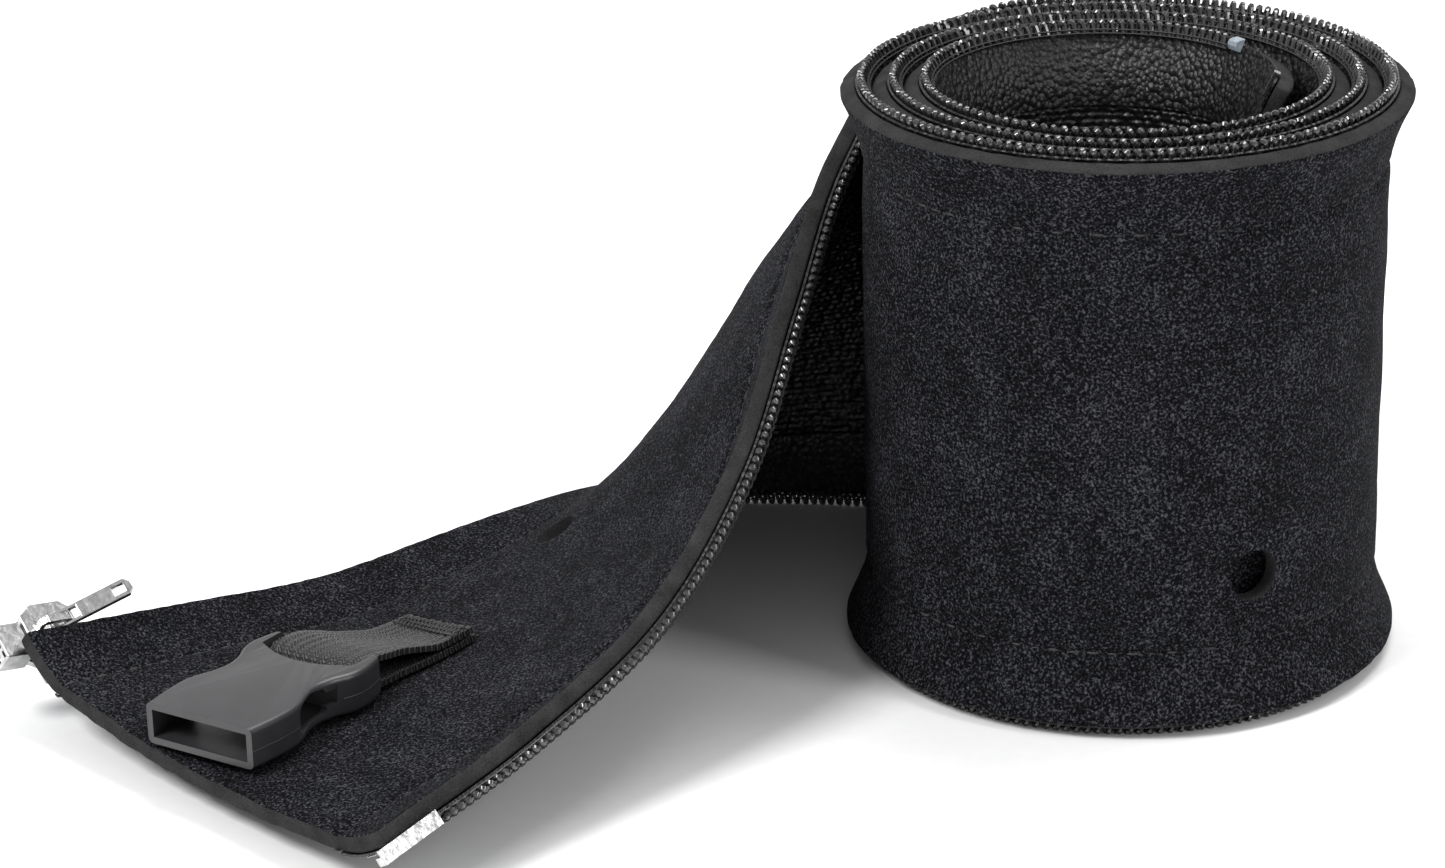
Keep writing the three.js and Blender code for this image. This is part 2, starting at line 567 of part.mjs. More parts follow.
function buckleSocket() {
  const B = BUCKLE;
  const rear = -B.barInset, mouth = rear + B.length;
  const inset = B.bevel;
  const sideLine = [
    [rear, B.rearHalf - 1.5], [rear + 1.5, B.rearHalf], [rear + B.shoulder, B.shoulderHalf],
    [rear + (B.shoulder + B.waist) / 2, (B.shoulderHalf + B.waistHalf) / 2],
    [rear + B.waist, B.waistHalf], [rear + (B.waist + B.hip) / 2, (B.waistHalf + B.hipHalf) / 2],
    [rear + B.hip, B.hipHalf], [mouth, B.mouthHalf],
  ];
  const plan = (reach) => new THREE.Shape([
    ...sideLine.map(([x, y]) => new THREE.Vector2(
      Math.min(Math.max(x, rear + inset - reach), mouth - inset + reach), -(y - inset + reach))),
    ...sideLine.map(([x, y]) => new THREE.Vector2(
      Math.min(Math.max(x, rear + inset - reach), mouth - inset + reach), y - inset + reach)).reverse(),
  ]);
  const body = new THREE.ExtrudeGeometry(plan(0), {
    depth: B.height - 2 * inset, bevelEnabled: true, bevelThickness: inset, bevelSize: inset,
    bevelSegments: 3,
  }).translate(0, 0, inset);
  const pocketEnd = rear + B.bar * 2 + B.pocketLength - 3.2;
  const cavityFrom = pocketEnd + B.pocketBow + B.bridgeWall;
  const socket = new THREE.Shape([
    [cavityFrom, -(B.waistHalf - B.wall)], [mouth + 2, -(B.mouthHalf - B.wall)],
    [mouth + 2, B.mouthHalf - B.wall], [cavityFrom, B.waistHalf - B.wall],
  ].map((p) => new THREE.Vector2(...p)));
  const cavity = new THREE.ExtrudeGeometry(socket, {
    depth: B.height - 2 * B.wall, bevelEnabled: false }).translate(0, 0, B.wall);
  // Side windows, each with a narrower notch at its rear end.
  const windows = [
    block(B.windowFrom + rear + B.notch, B.windowTo + rear, -20, 20, B.windowLow, B.windowHigh),
    block(B.windowFrom + rear, B.windowTo + rear - 1, -20, 20, B.windowLow + 1.2, B.windowHigh - 1.2),
  ];
  const pocket = new THREE.Shape();
  const side = STRAP.halfWidth + GAP.seat;
  pocket.moveTo(rear - 3, -side);
  pocket.lineTo(pocketEnd - B.pocketBow, -side);
  pocket.quadraticCurveTo(pocketEnd + B.pocketBow, 0, pocketEnd - B.pocketBow, side);
  pocket.lineTo(rear - 3, side);
  const well = new THREE.ExtrudeGeometry(pocket, {
    depth: B.height + 4, bevelEnabled: false, curveSegments: 8 }).translate(0, 0, -2);
  const bar = rod(B.bar, 2 * side + 1, 12).translate([0, 0, BAR_Z]);
  const pip = toManifold(new THREE.SphereGeometry(B.pip, 10, 6))
    .translate([mouth - 1.2, 0, B.height - B.wall]);
  let solid = toManifold(body).subtract(toManifold(cavity)).subtract(toManifold(well));
  for (const cut of windows) solid = solid.subtract(cut);
  return toGeometry(joined([solid, bar, pip]));
}

// The whole part.

const sleeveGroup = new THREE.Group();
sleeveGroup.add(
  piece('neoprene_sleeve', sleeve(), COLOUR.plush),
  piece('zipper_tape_top', tape(NEAR), COLOUR.tape),
  piece('zipper_tape_bottom', tape(FAR), COLOUR.tape),
  piece('zipper_coil_top', coil(NEAR), COLOUR.coil),
  piece('zipper_coil_bottom', coil(FAR), COLOUR.coil),
  piece('insertion_pin', pin(NEAR, TAIL.length + PIN.overhang), COLOUR.nickel),
  piece('retainer_pin', pin(FAR, TAIL.length + BOX.overhang - 1), COLOUR.nickel),
  piece('end_stop_top', endStop(NEAR), COLOUR.clear),
  piece('end_stop_bottom', endStop(FAR), COLOUR.clear),
  piece('end_clip', endClip(), COLOUR.nickel),
  piece('reinforcement_film_top', film(NEAR), COLOUR.clear),
  piece('reinforcement_film_bottom', film(FAR), COLOUR.clear),
  piece('strap_loop', strap.geometry, COLOUR.webbing),
  piece('strap_bartack', barTack(), COLOUR.tape),
);

const sliderGroup = new THREE.Group();
sliderGroup.applyMatrix4(sliderFrame);
sliderGroup.add(
  piece('slider_body', sliderBody(), COLOUR.nickel),
  piece('pull_tab', pullTab(), COLOUR.nickel),
  piece('retainer_box', retainerBox(), COLOUR.nickel),
);

const buckleGroup = new THREE.Group();
buckleGroup.applyMatrix4(buckleFrame);
buckleGroup.add(piece('buckle_socket', buckleSocket(), COLOUR.plastic));

// The part stands on the floor, with the middle of its bounding box over the origin.
const part = new THREE.Group();
part.add(sleeveGroup, sliderGroup, buckleGroup);
part.updateMatrixWorld(true);
const bounds = new THREE.Box3().setFromObject(part, true);
const centre = bounds.getCenter(new THREE.Vector3());
part.position.set(-centre.x, -centre.y, -bounds.min.z);
part.updateMatrixWorld(true);

export default part;
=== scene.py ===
"""Zippered cable sleeve: a rolled padded strip with zipper edges, dressed around its fixed frame.

Sizes are in millimetres along the strip, and are turned to metres as each piece is wrapped onto it.
"""

import json
import logging
import math
from dataclasses import dataclass, field
from enum import Enum
from typing import Any, Callable, Iterable, Sequence

import bmesh
import bpy
import numpy as np
from mathutils import Matrix, Vector, noise


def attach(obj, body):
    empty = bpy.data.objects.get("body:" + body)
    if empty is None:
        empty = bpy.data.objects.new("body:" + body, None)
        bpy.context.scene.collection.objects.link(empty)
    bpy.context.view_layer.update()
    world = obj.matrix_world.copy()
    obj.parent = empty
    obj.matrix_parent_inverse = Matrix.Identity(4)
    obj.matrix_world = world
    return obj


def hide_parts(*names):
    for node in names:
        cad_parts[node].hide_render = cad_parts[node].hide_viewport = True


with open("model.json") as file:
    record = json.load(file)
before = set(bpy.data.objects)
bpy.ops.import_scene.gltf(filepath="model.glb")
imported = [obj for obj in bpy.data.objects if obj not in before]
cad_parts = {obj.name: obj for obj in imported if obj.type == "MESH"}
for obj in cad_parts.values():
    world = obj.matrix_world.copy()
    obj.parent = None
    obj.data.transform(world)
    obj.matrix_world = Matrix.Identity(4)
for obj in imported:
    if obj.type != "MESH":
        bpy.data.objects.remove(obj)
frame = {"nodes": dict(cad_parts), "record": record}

LOG = logging.getLogger("sleeve")
MM = 0.001
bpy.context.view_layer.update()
Array = np.ndarray


class Side(Enum):
    """The strip's two long edges, as the sign of the distance across it."""

    FAR = -1
    NEAR = 1


# Shader building.

class Expr:
    """A socket that adds Math nodes to its own tree as it is used in sums and products."""

    def __init__(self, dress: "Dress", socket: bpy.types.NodeSocket) -> None:
        """Keeps the tree's builder and the socket."""
        self.dress = dress
        self.socket = socket

    def _math(self, operation: str, *values: Any) -> "Expr":
        """Adds one Math node.

        Args:
            operation: the node's operation.
            values: numbers or expressions for its sockets.

        Returns:
            The node's result.
        """
        node = self.dress.node("ShaderNodeMath", {"operation": operation}, dict(enumerate(values)))
        return Expr(self.dress, node.outputs[0])

    def __add__(self, other: Any) -> "Expr":
        """Sum."""
        return self._math("ADD", self, other)

    def __sub__(self, other: Any) -> "Expr":
        """Difference."""
        return self._math("SUBTRACT", self, other)

    def __rsub__(self, other: Any) -> "Expr":
        """Difference with a number first."""
        return self._math("SUBTRACT", other, self)

    def __mul__(self, other: Any) -> "Expr":
        """Product."""
        return self._math("MULTIPLY", self, other)

    def sine(self) -> "Expr":
        """Sine."""
        return self._math("SINE", self)


class Dress:
    """Builds one material's nodes around a Principled shader."""

    def __init__(self, name: str) -> None:
        """Starts the material.

        Args:
            name: the material's name.
        """
        self.material = bpy.data.materials.new(name)
        self.material.use_nodes = True
        self.tree = self.material.node_tree
        self.tree.nodes.clear()
        self.shader = self.node("ShaderNodeBsdfPrincipled", {}, {})
        output = self.node("ShaderNodeOutputMaterial", {}, {})
        self.tree.links.new(self.shader.outputs[0], output.inputs[0])

    def node(self, kind: str, settings: dict[str, Any], sockets: dict[Any, Any]) -> bpy.types.Node:
        """Adds a node.

        Args:
            kind: the node's type.
            settings: attributes, set before the sockets; "stops" gives a ramp's stops.
            sockets: values, sockets or expressions, by socket name or number.

        Returns:
            The new node.
        """
        node = self.tree.nodes.new(kind)
        for key, value in settings.items():
            if key == "stops":
                self._set_stops(node.color_ramp, value)
            else:
                setattr(node, key, value)
        for key, value in sockets.items():
            if isinstance(value, Expr):
                value = value.socket
            if isinstance(value, bpy.types.NodeSocket):
                self.tree.links.new(value, node.inputs[key])
            else:
                node.inputs[key].default_value = value
        return node

    @staticmethod
    def _set_stops(ramp: bpy.types.ColorRamp, stops: Sequence[tuple[float, Sequence[float]]]) -> None:
        """Sets a ramp's stops.

        Args:
            ramp: the colour ramp.
            stops: each stop's place and linear colour.
        """
        while len(ramp.elements) < len(stops):
            ramp.elements.new(0.5)
        for element, (place, colour) in zip(ramp.elements, stops):
            element.position = place
            element.color = (*colour, 1.0)

    def set(self, **values: Any) -> None:
        """Sets the Principled shader's sockets; an underscore in a name stands for a space."""
        for key, value in values.items():
            name = key.replace("_", " ")
            if isinstance(value, Expr):
                value = value.socket
            if isinstance(value, bpy.types.NodeSocket):
                self.tree.links.new(value, self.shader.inputs[name])
            else:
                self.shader.inputs[name].default_value = value

    def place(self, along_strip: bool = False) -> bpy.types.NodeSocket:
        """The coordinates that a pattern reads.

        Args:
            along_strip: reads the piece's own map, in metres along and across it.

        Returns:
            A vector socket.
        """
        node = self.node("ShaderNodeTexCoord", {}, {})
        return node.outputs["UV" if along_strip else "Object"]

    def along(self, vector: bpy.types.NodeSocket) -> tuple[Expr, Expr, Expr]:
        """Splits a vector.

        Args:
            vector: the socket.

        Returns:
            Its three parts.
        """
        node = self.node("ShaderNodeSeparateXYZ", {}, {0: vector})
        return tuple(Expr(self, socket) for socket in node.outputs)

    def grain(self, vector: bpy.types.NodeSocket, size: float, detail: float = 2.0,
              roughness: float = 0.5) -> Expr:
        """Noise of a given grain.

        Args:
            vector: coordinates in metres.
            size: the grain's size in millimetres.
            detail: octaves of finer grain.
            roughness: how strong the finer grain is.

        Returns:
            Noise from 0 to 1.
        """
        node = self.node("ShaderNodeTexNoise", {}, {
            "Vector": vector, "Scale": 1.0 / (size * MM), "Detail": detail, "Roughness": roughness})
        return Expr(self, node.outputs["Fac"])

    def cells(self, vector: bpy.types.NodeSocket, size: float) -> Expr:
        """Distance within cells of a given size.

        Args:
            vector: coordinates in metres.
            size: the cells' size in millimetres.

        Returns:
            The distance.
        """
        node = self.node("ShaderNodeTexVoronoi", {}, {
            "Vector": vector, "Scale": 1.0 / (size * MM)})
        return Expr(self, node.outputs["Distance"])

    def ramp(self, value: Expr, *stops: tuple[float, float | Sequence[float]]) -> bpy.types.NodeSocket:
        """A colour ramp.

        Args:
            value: what is looked up.
            stops: places with a grey level or a linear colour.

        Returns:
            The colour socket.
        """
        colours = [(at, (c, c, c) if isinstance(c, (int, float)) else c) for at, c in stops]
        return self.node("ShaderNodeValToRGB", {"stops": colours}, {0: value}).outputs[0]

    def bump(self, height: Expr, depth: float, strength: float = 1.0) -> None:
        """Feeds a height to the shader's normal.

        Args:
            height: heights from 0 to 1.
            depth: what 1 stands for, in millimetres.
            strength: the bump's strength.
        """
        node = self.node("ShaderNodeBump", {}, {
            "Strength": strength, "Distance": depth * MM, "Height": height})
        self.set(Normal=node.outputs[0])


@dataclass(frozen=True)
class Plush:
    """Brushed charcoal knit on the strip's outer face."""

    pile: float = 0.46
    dark: tuple[float, float, float] = (0.0012, 0.0012, 0.0018)
    middle: tuple[float, float, float] = (0.0075, 0.0077, 0.0095)
    light: tuple[float, float, float] = (0.085, 0.087, 0.1)

    def build(self) -> bpy.types.Material:
        """Returns the material."""
        dress = Dress("plush")
        place = dress.place()
        tufts = dress.grain(place, self.pile, 3.0, 0.62)
        nap = dress.grain(place, 9.0, 2.0)
        shade = tufts + (nap - 0.5) * 0.12
        colour = dress.ramp(shade, (0.38, self.dark), (0.52, self.middle), (0.7, self.light))
        dress.set(Base_Color=colour, Roughness=0.95, Specular_IOR_Level=0.08)
        dress.bump(tufts, 0.55)
        return dress.material


@dataclass(frozen=True)
class Knit:
    """Open loop knit on the strip's inner face, with small glints from its gloss; its colour is also paler
    on the loop tops, a painted highlight, and near black in the hollows, painted shade.
    """

    cell: float = 1.25

    def build(self) -> bpy.types.Material:
        """Returns the material."""
        dress = Dress("knit")
        place = dress.place(along_strip=True)
        _, across, _ = dress.along(place)
        row = (across * (math.tau / (self.cell * MM))).sine()
        loops = dress.cells(place, self.cell)
        height = (1.0 - loops) * 0.8 + row * 0.12
        # Painted highlight and shade: the colour follows the loop height, paler on the crests and near black
        # in the hollows.
        colour = dress.ramp(height, (0.3, 0.0015), (0.62, 0.008), (0.9, 0.05))
        dress.set(Base_Color=colour, Roughness=0.4, Specular_IOR_Level=0.5)
        dress.bump(height, 0.6)
        return dress.material


@dataclass(frozen=True)
class Foam:
    """Cut edge of the foam, dark grey and slightly ragged."""

    level: tuple[float, float, float] = (0.03, 0.03, 0.0305)

    def build(self) -> bpy.types.Material:
        """Returns the material."""
        dress = Dress("foam edge")
        place = dress.place()
        pores = dress.grain(place, 0.35, 3.0, 0.7)
        patches = dress.grain(place, 4.0, 2.0)
        colour = dress.ramp(pores * 0.6 + patches * 0.4, (0.3, 0.008), (0.55, self.level), (0.8, 0.055))
        dress.set(Base_Color=colour, Roughness=0.9, Specular_IOR_Level=0.15)
        dress.bump(pores, 0.25)
        return dress.material


@dataclass(frozen=True)
class Tape:
    """Black zipper tape, knitted in fine loops with small glints from its gloss; its colour is also paler on
    the loop tops, a painted highlight, and near black in the hollows, painted shade.
    """

    cell: float = 0.95

    def build(self) -> bpy.types.Material:
        """Returns the material."""
        dress = Dress("zipper tape")
        place = dress.place(along_strip=True)
        loops = 1.0 - dress.cells(place, self.cell)
        fibre = dress.grain(place, 0.3, 2.0)
        height = loops * 0.8 + fibre * 0.2
        # Painted highlight and shade: the colour follows the loop height, paler on the crests and near black
        # in the hollows.
        colour = dress.ramp(height, (0.3, 0.0015), (0.62, 0.008), (0.9, 0.05))
        dress.set(Base_Color=colour, Roughness=0.42, Specular_IOR_Level=0.5)
        dress.bump(height, 0.45)
        return dress.material


@dataclass(frozen=True)
class Nylon:
    """Glossy black monofilament of the coils."""

    roughness: float = 0.2

    def build(self) -> bpy.types.Material:
        """Returns the material."""
        dress = Dress("nylon coil")
        wear = dress.grain(dress.place(), 0.8, 2.0)
        dress.set(Base_Color=dress.ramp(wear, (0.3, 0.012), (0.7, 0.03)),
                  Roughness=wear * 0.12 + self.roughness * 0.75, Specular_IOR_Level=0.75,
                  Coat_Weight=0.6, Coat_Roughness=0.1)
        dress.bump(wear, 0.03)
        return dress.material


@dataclass(frozen=True)
class Nickel:
    """Plated zipper hardware with faint casting waves."""

    level: float = 0.4

    def build(self) -> bpy.types.Material:
        """Returns the material."""
        dress = Dress("nickel plate")
        place = dress.place()
        waves = dress.grain(place, 1.6, 2.0)
        haze = dress.grain(place, 0.3, 3.0)
        dress.set(Base_Color=dress.ramp(waves, (0.3, self.level), (0.75, 0.66)), Metallic=1.0,
                  Roughness=haze * 0.16 + 0.14)
        dress.bump(waves, 0.12, 0.6)
        return dress.material


@dataclass(frozen=True)
class Clear:
    """Clear moulded plastic and film, faintly blue."""

    tint: tuple[float, float, float] = (0.42, 0.5, 0.58)

    def build(self) -> bpy.types.Material:
        """Returns the material."""
        dress = Dress("clear plastic")
        flow = dress.grain(dress.place(), 1.2, 2.0)
        dress.set(Base_Color=dress.ramp(flow, (0.3, self.tint), (0.7, (0.6, 0.66, 0.7))),
                  Roughness=flow * 0.2 + 0.12, Transmission_Weight=0.55, IOR=1.45)
        dress.bump(flow, 0.08)
        return dress.material


@dataclass(frozen=True)
class Webbing:
    """Black ribbed webbing with shiny threads; its colour is also paler on the thread crests, a painted
    highlight, and near black between them, painted shade.
    """

    rib: float = 1.9
    thread: float = 0.75

    def build(self) -> bpy.types.Material:
        """Returns the material."""
        dress = Dress("webbing")
        place = dress.place(along_strip=True)
        along, across, _ = dress.along(place)
        lean = (across * (math.tau / (self.rib * MM))).sine() * (self.thread * MM * 0.6)
        picks = ((along + lean) * (math.tau / (self.thread * MM))).sine() * 0.5 + 0.5
        fibre = dress.grain(place, 0.22, 3.0, 0.7)
        height = picks * 0.7 + fibre * 0.3
        # Painted highlight and shade: the colour follows the weave's height, paler on the crests and near
        # black in the hollows.
        colour = dress.ramp(height, (0.25, 0.003), (0.6, 0.014), (0.95, 0.07))
        dress.set(Base_Color=colour, Roughness=fibre * 0.3 + 0.32, Specular_IOR_Level=0.6)
        dress.bump(height, 0.3)
        return dress.material


@dataclass(frozen=True)
class Thread:
    """Twisted black sewing thread."""

    level: float = 0.02

    def build(self) -> bpy.types.Material:
        """Returns the material."""
        dress = Dress("sewing thread")
        twist = dress.grain(dress.place(), 0.2, 2.0)
        dress.set(Base_Color=dress.ramp(twist, (0.3, self.level * 0.4), (0.7, self.level * 1.8)),
                  Roughness=0.6, Specular_IOR_Level=0.45)
        dress.bump(twist, 0.08)
        return dress.material


@dataclass(frozen=True)
class Acetal:
    """Satin grey moulded plastic with a fine spark grain and paler clouds at random."""

    level: tuple[float, float, float] = (0.030, 0.0285, 0.031)

    def build(self) -> bpy.types.Material:
        """Returns the material."""
        dress = Dress("moulded plastic")
        place = dress.place()
        spark = dress.grain(place, 0.16, 2.0)
        cloud = dress.grain(place, 7.0, 2.0)
        base = [v * 0.86 for v in self.level]
        pale = [v * 1.16 for v in self.level]
        dress.set(Base_Color=dress.ramp(cloud, (0.3, base), (0.7, pale)),
                  Roughness=spark * 0.12 + 0.27, Specular_IOR_Level=0.55)
        dress.bump(spark, 0.03, 0.7)
        return dress.material


class Finishes:
    """The object's materials, made once."""

    def __init__(self) -> None:
        """Builds every finish."""
        self.plush = Plush().build()
        self.knit = Knit().build()
        self.foam = Foam().build()
        self.tape = Tape().build()
        self.coil = Nylon().build()
        self.nickel = Nickel().build()
        self.clear = Clear().build()
        self.webbing = Webbing().build()
        self.thread = Thread().build()
        self.plastic = Acetal().build()


# The strip's surface.

def smooth(value: Array) -> Array:
    """Eases from 0 to 1."""
    t = np.clip(value, 0.0, 1.0)
    return t * t * (3 - 2 * t)


@dataclass(frozen=True)
class Strip:
    """The strip's middle surface, the same as the frame's, and the place of things on it."""

    half_width: float = 50.0
    thick: float = 3.0
    stitch_inset: float = 12.5
    flare: float = 4.0
    rim_slope: float = 0.4333
    sewn_gap: float = 0.15
    tape_thick: float = 0.4
    radius: float = 46.75
    pitch: float = 5.5
    centre: tuple[float, float] = (-1.0, -0.3)
    inner_turn: float = math.radians(98 * 12)
    curl: float = 4.5
    curl_turn: float = math.radians(186)
    tail: float = 233.0
    rail_half: float = 50.0
    tape_drop: float = 2.45
    drop_full: float = 31.0
    drop_ease: float = 36.0
    origin: tuple[float, float, float] = (73.2667, 31.4657, 2.1084)
    far_rail: tuple[tuple[float, float, float], ...] = (
        (-1, 46.5, 0), (-34.5, 49.5, 0.7), (-67, 51, 0.4), (-97, 45.5, -0.7),
        (-123.5, 24, -1.2), (-146.5, -1, -0.7), (-167.75, -26.5, 5), (-189, -52, 11))
    middle_rail: tuple[tuple[float, float, float], ...] = (
        (-1, 46.5, 50), (-33.5, 51.5, 50.5), (-64, 40.5, 47.5), (-80, 15.5, 33),
        (-90.5, -9, 15.5), (-108.5, -34, 6.5), (-130, -59, 4.5), (-151.5, -84, 4.5))
    near_rail: tuple[tuple[float, float, float], ...] = (
        (-1, 46.5, 100), (-32, 35.5, 97), (-47, 9, 81.5), (-54.5, -16, 62),
        (-61.5, -40, 41.5), (-74, -64.5, 24.5), (-92.5, -90, 14), (-112.5, -116, 7.5))

    @property
    def growth(self) -> float:
        """How much the roll's radius shrinks for each radian inwards."""
        return self.pitch / math.tau

    @property
    def inner_end(self) -> float:
        """The run of the strip's inner end, which is negative."""
        return -(self.radius * self.inner_turn - self.growth * self.inner_turn ** 2 / 2)

    @property
    def stitch(self) -> float:
        """The stitch lines' distance from the middle."""
        return self.half_width - self.stitch_inset

    @property
    def tape_mid(self) -> float:
        """The tape's middle, under the strip's middle surface."""
        return -self.thick / 2 - self.sewn_gap - self.tape_thick / 2

    def _rail(self, knots: Sequence[Sequence[float]], run: Array) -> Array:
        """Points on one of the tail's rails.

        Args:
            knots: the rail's points.
            run: runs along the tail.

        Returns:
            One point a row.
        """
        k = np.array(knots, dtype=float)
        last = len(k) - 1
        spacing = self.tail / last
        leaving = np.array([-1.0, self.growth / self.radius, 0.0])
        tangents = np.empty_like(k)
        tangents[0] = leaving / np.linalg.norm(leaving) * spacing
        tangents[1:-1] = (k[2:] - k[:-2]) / 2
        tangents[-1] = k[-1] - k[-2]
        i = np.clip(np.floor(run / spacing).astype(int), 0, last - 1)
        t = (run / spacing - i)[:, None]
        inside = np.minimum(t, 1.0)
        t2, t3 = inside ** 2, inside ** 3
        point = (k[i] * (2 * t3 - 3 * t2 + 1) + tangents[i] * (t3 - 2 * t2 + inside)
                 + k[i + 1] * (3 * t2 - 2 * t3) + tangents[i + 1] * (t3 - t2))
        return point + tangents[i + 1] * (t - inside)

    def middle(self, run: Array, across: Array) -> Array:
        """Points on the middle surface.

        Args:
            run: lengths along the strip, negative inside the roll.
            across: distances from the middle line.

        Returns:
            One point a row, in the strip's own millimetres.
        """
        rolled = np.minimum(run, 0.0)
        angle = (self.radius - np.sqrt(self.radius ** 2 + 2 * self.growth * rolled)) / self.growth
        inward = np.maximum(angle - (self.inner_turn - self.curl_turn), 0) / self.curl_turn
        radius = self.radius - self.growth * angle - self.curl * inward ** 2
        azimuth = math.pi / 2 - angle
        roll = np.stack([self.centre[0] + radius * np.cos(azimuth),
                         self.centre[1] + radius * np.sin(azimuth), self.rail_half + across], axis=1)
        q = (across / self.rail_half)[:, None]
        free = np.maximum(run, 0.0)
        tail = (self._rail(self.far_rail, free) * (q * (q - 1) / 2)
                + self._rail(self.middle_rail, free) * (1 - q * q)
                + self._rail(self.near_rail, free) * (q * (q + 1) / 2))
        return np.where((run < 0)[:, None], roll, tail)

    def outward(self, run: Array, across: Array) -> Array:
        """Outward normals of the middle surface, one a row."""
        e = 0.05
        along = self.middle(run + e, across) - self.middle(run - e, across)
        width = self.middle(run, across + e) - self.middle(run, across - e)
        normal = np.cross(along, width)
        return normal / np.linalg.norm(normal, axis=1, keepdims=True)

    def place(self, run: Array, across: Array, height: Array) -> Array:
        """Points off the middle surface, in the frame's metres.

        Args:
            run: lengths along the strip.
            across: distances across the surface before the flare.
            height: distances off it.

        Returns:
            One point a row.
        """
        raw = self.middle(run, across) + self.outward(run, across) * height[:, None]
        return (raw + np.array(self.origin)) * MM

    def wrap(self, run: Array, width: Array, height: Array) -> Array:
        """Wraps flat places onto the strip, flare included.

        Args:
            run: lengths along the strip.
            width: signed distances from the middle line, along the flared section.
            height: distances off the section's middle.

        Returns:
            One point a row, in the frame's metres.
        """
        over = np.maximum(np.abs(width) - self.stitch, 0) / self.stitch_inset
        t = np.minimum(over, 1.0)
        end = self.rim_slope * self.stitch_inset
        rise = (3 * self.flare - end) * t ** 2 + (end - 2 * self.flare) * t ** 3
        slope = (2 * (3 * self.flare - end) * t + 3 * (end - 2 * self.flare) * t ** 2) / self.stitch_inset
        tilt = np.arctan(slope)
        past = np.maximum(np.abs(width) - self.half_width, 0)
        base = np.minimum(np.abs(width), self.half_width)
        across = np.sign(width) * (base + past * np.cos(tilt) - height * np.sin(tilt))
        return self.place(run, across, rise + past * np.sin(tilt) + height * np.cos(tilt))

    def drop(self, side: Side, run: Array) -> Array:
        """How far the bottom tape hangs below its place near the tail's end."""
        if side is Side.NEAR:
            return np.zeros_like(run)
        start = self.tail - self.drop_full - self.drop_ease
        return self.tape_drop * smooth((run - start) / self.drop_ease)


class Flat:
    """A bmesh that is modelled flat, in millimetres, and then wrapped into its place."""

    def __init__(self) -> None:
        """Starts empty."""
        self.bm = bmesh.new()

    def slab(self, runs: Sequence[float], widths: Sequence[float], low: float, high: float) -> "Flat":
        """Makes a slab with lines at the given places.

        Args:
            runs: places of the lines across it.
            widths: places of the lines along it.
            low: height of its lower face.
            high: height of its upper face.

        Returns:
            This piece.
        """
        nx, ny = len(runs) - 1, len(widths) - 1
        bmesh.ops.create_grid(self.bm, x_segments=nx, y_segments=ny, size=0.5)
        for v in self.bm.verts:
            v.co = (runs[round((v.co.x + 0.5) * nx)], widths[round((v.co.y + 0.5) * ny)], low)
        grown = bmesh.ops.extrude_face_region(self.bm, geom=list(self.bm.faces))["geom"]
        lifted = [v for v in grown if isinstance(v, bmesh.types.BMVert)]
        bmesh.ops.translate(self.bm, vec=(0, 0, high - low), verts=lifted)
        bmesh.ops.recalc_face_normals(self.bm, faces=list(self.bm.faces))
        return self

    def soften(self, offset: float, segments: int, keep: Callable[[Any], bool]) -> "Flat":
        """Bevels chosen edges.

        Args:
            offset: the bevel's width.
            segments: its steps.
            keep: says whether an edge is bevelled.

        Returns:
            This piece.
        """
        edges = [e for e in self.bm.edges if keep(e)]
        bmesh.ops.bevel(self.bm, geom=edges, offset=offset, offset_type="OFFSET", segments=segments,
                        profile=0.5, affect="EDGES", material=-1, clamp_overlap=True)
        return self

    def map_flat(self) -> "Flat":
        """Keeps the flat place of each corner as the piece's own map, in metres."""
        layer = self.bm.loops.layers.uv.verify()
        for face in self.bm.faces:
            for loop in face.loops:
                loop[layer].uv = (loop.vert.co.x * MM, loop.vert.co.y * MM)
        return self

    def move(self, place: Callable[[Array, Array, Array], Array]) -> "Flat":
        """Moves every vertex to where its flat place goes.

        Args:
            place: turns arrays of flat coordinates into points.

        Returns:
            This piece.
        """
        verts = list(self.bm.verts)
        flat = np.array([v.co[:] for v in verts])
        for v, co in zip(verts, place(flat[:, 0], flat[:, 1], flat[:, 2])):
            v.co = co
        return self

    def finish(self, name: str, materials: Sequence[bpy.types.Material], body: str, slot: str,
               replaces: Sequence[str] = (), is_smooth: bool = True) -> bpy.types.Object:
        """Turns the bmesh into an object that rides on a body.

        Args:
            name: the object's name.
            materials: its materials, by face number.
            body: the body it rides on.
            slot: the record's material slot; not used.
            replaces: the frame's nodes that it stands for.
            is_smooth: whether its faces are shaded smooth.

        Returns:
            The object.
        """
        mesh = bpy.data.meshes.new(name)
        self.bm.to_mesh(mesh)
        self.bm.free()
        return settle(mesh, name, materials, body, replaces, is_smooth)


def settle(mesh: bpy.types.Mesh, name: str, materials: Sequence[bpy.types.Material], body: str,
           replaces: Sequence[str] = (), is_smooth: bool = True) -> bpy.types.Object:
    """Args:
        mesh: a mesh in the frame's metres.
        name: the object's name.
        materials: its materials, by face number.
        body: the body it rides on.
        replaces: the frame's nodes that it stands for.
        is_smooth: whether its faces are shaded smooth.

    Returns:
        The object.
    """
    piece = bpy.data.objects.new(name, mesh)
    bpy.context.scene.collection.objects.link(piece)
    for material in materials:
        mesh.materials.append(material)
    mesh.polygons.foreach_set("use_smooth", [is_smooth] * len(mesh.polygons))
    if is_smooth:
        mesh.set_sharp_from_angle(angle=math.radians(50))
    if replaces:
        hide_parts(*replaces)
    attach(piece, body)
    LOG.info("%s: %d faces", name, len(mesh.polygons))
    return piece


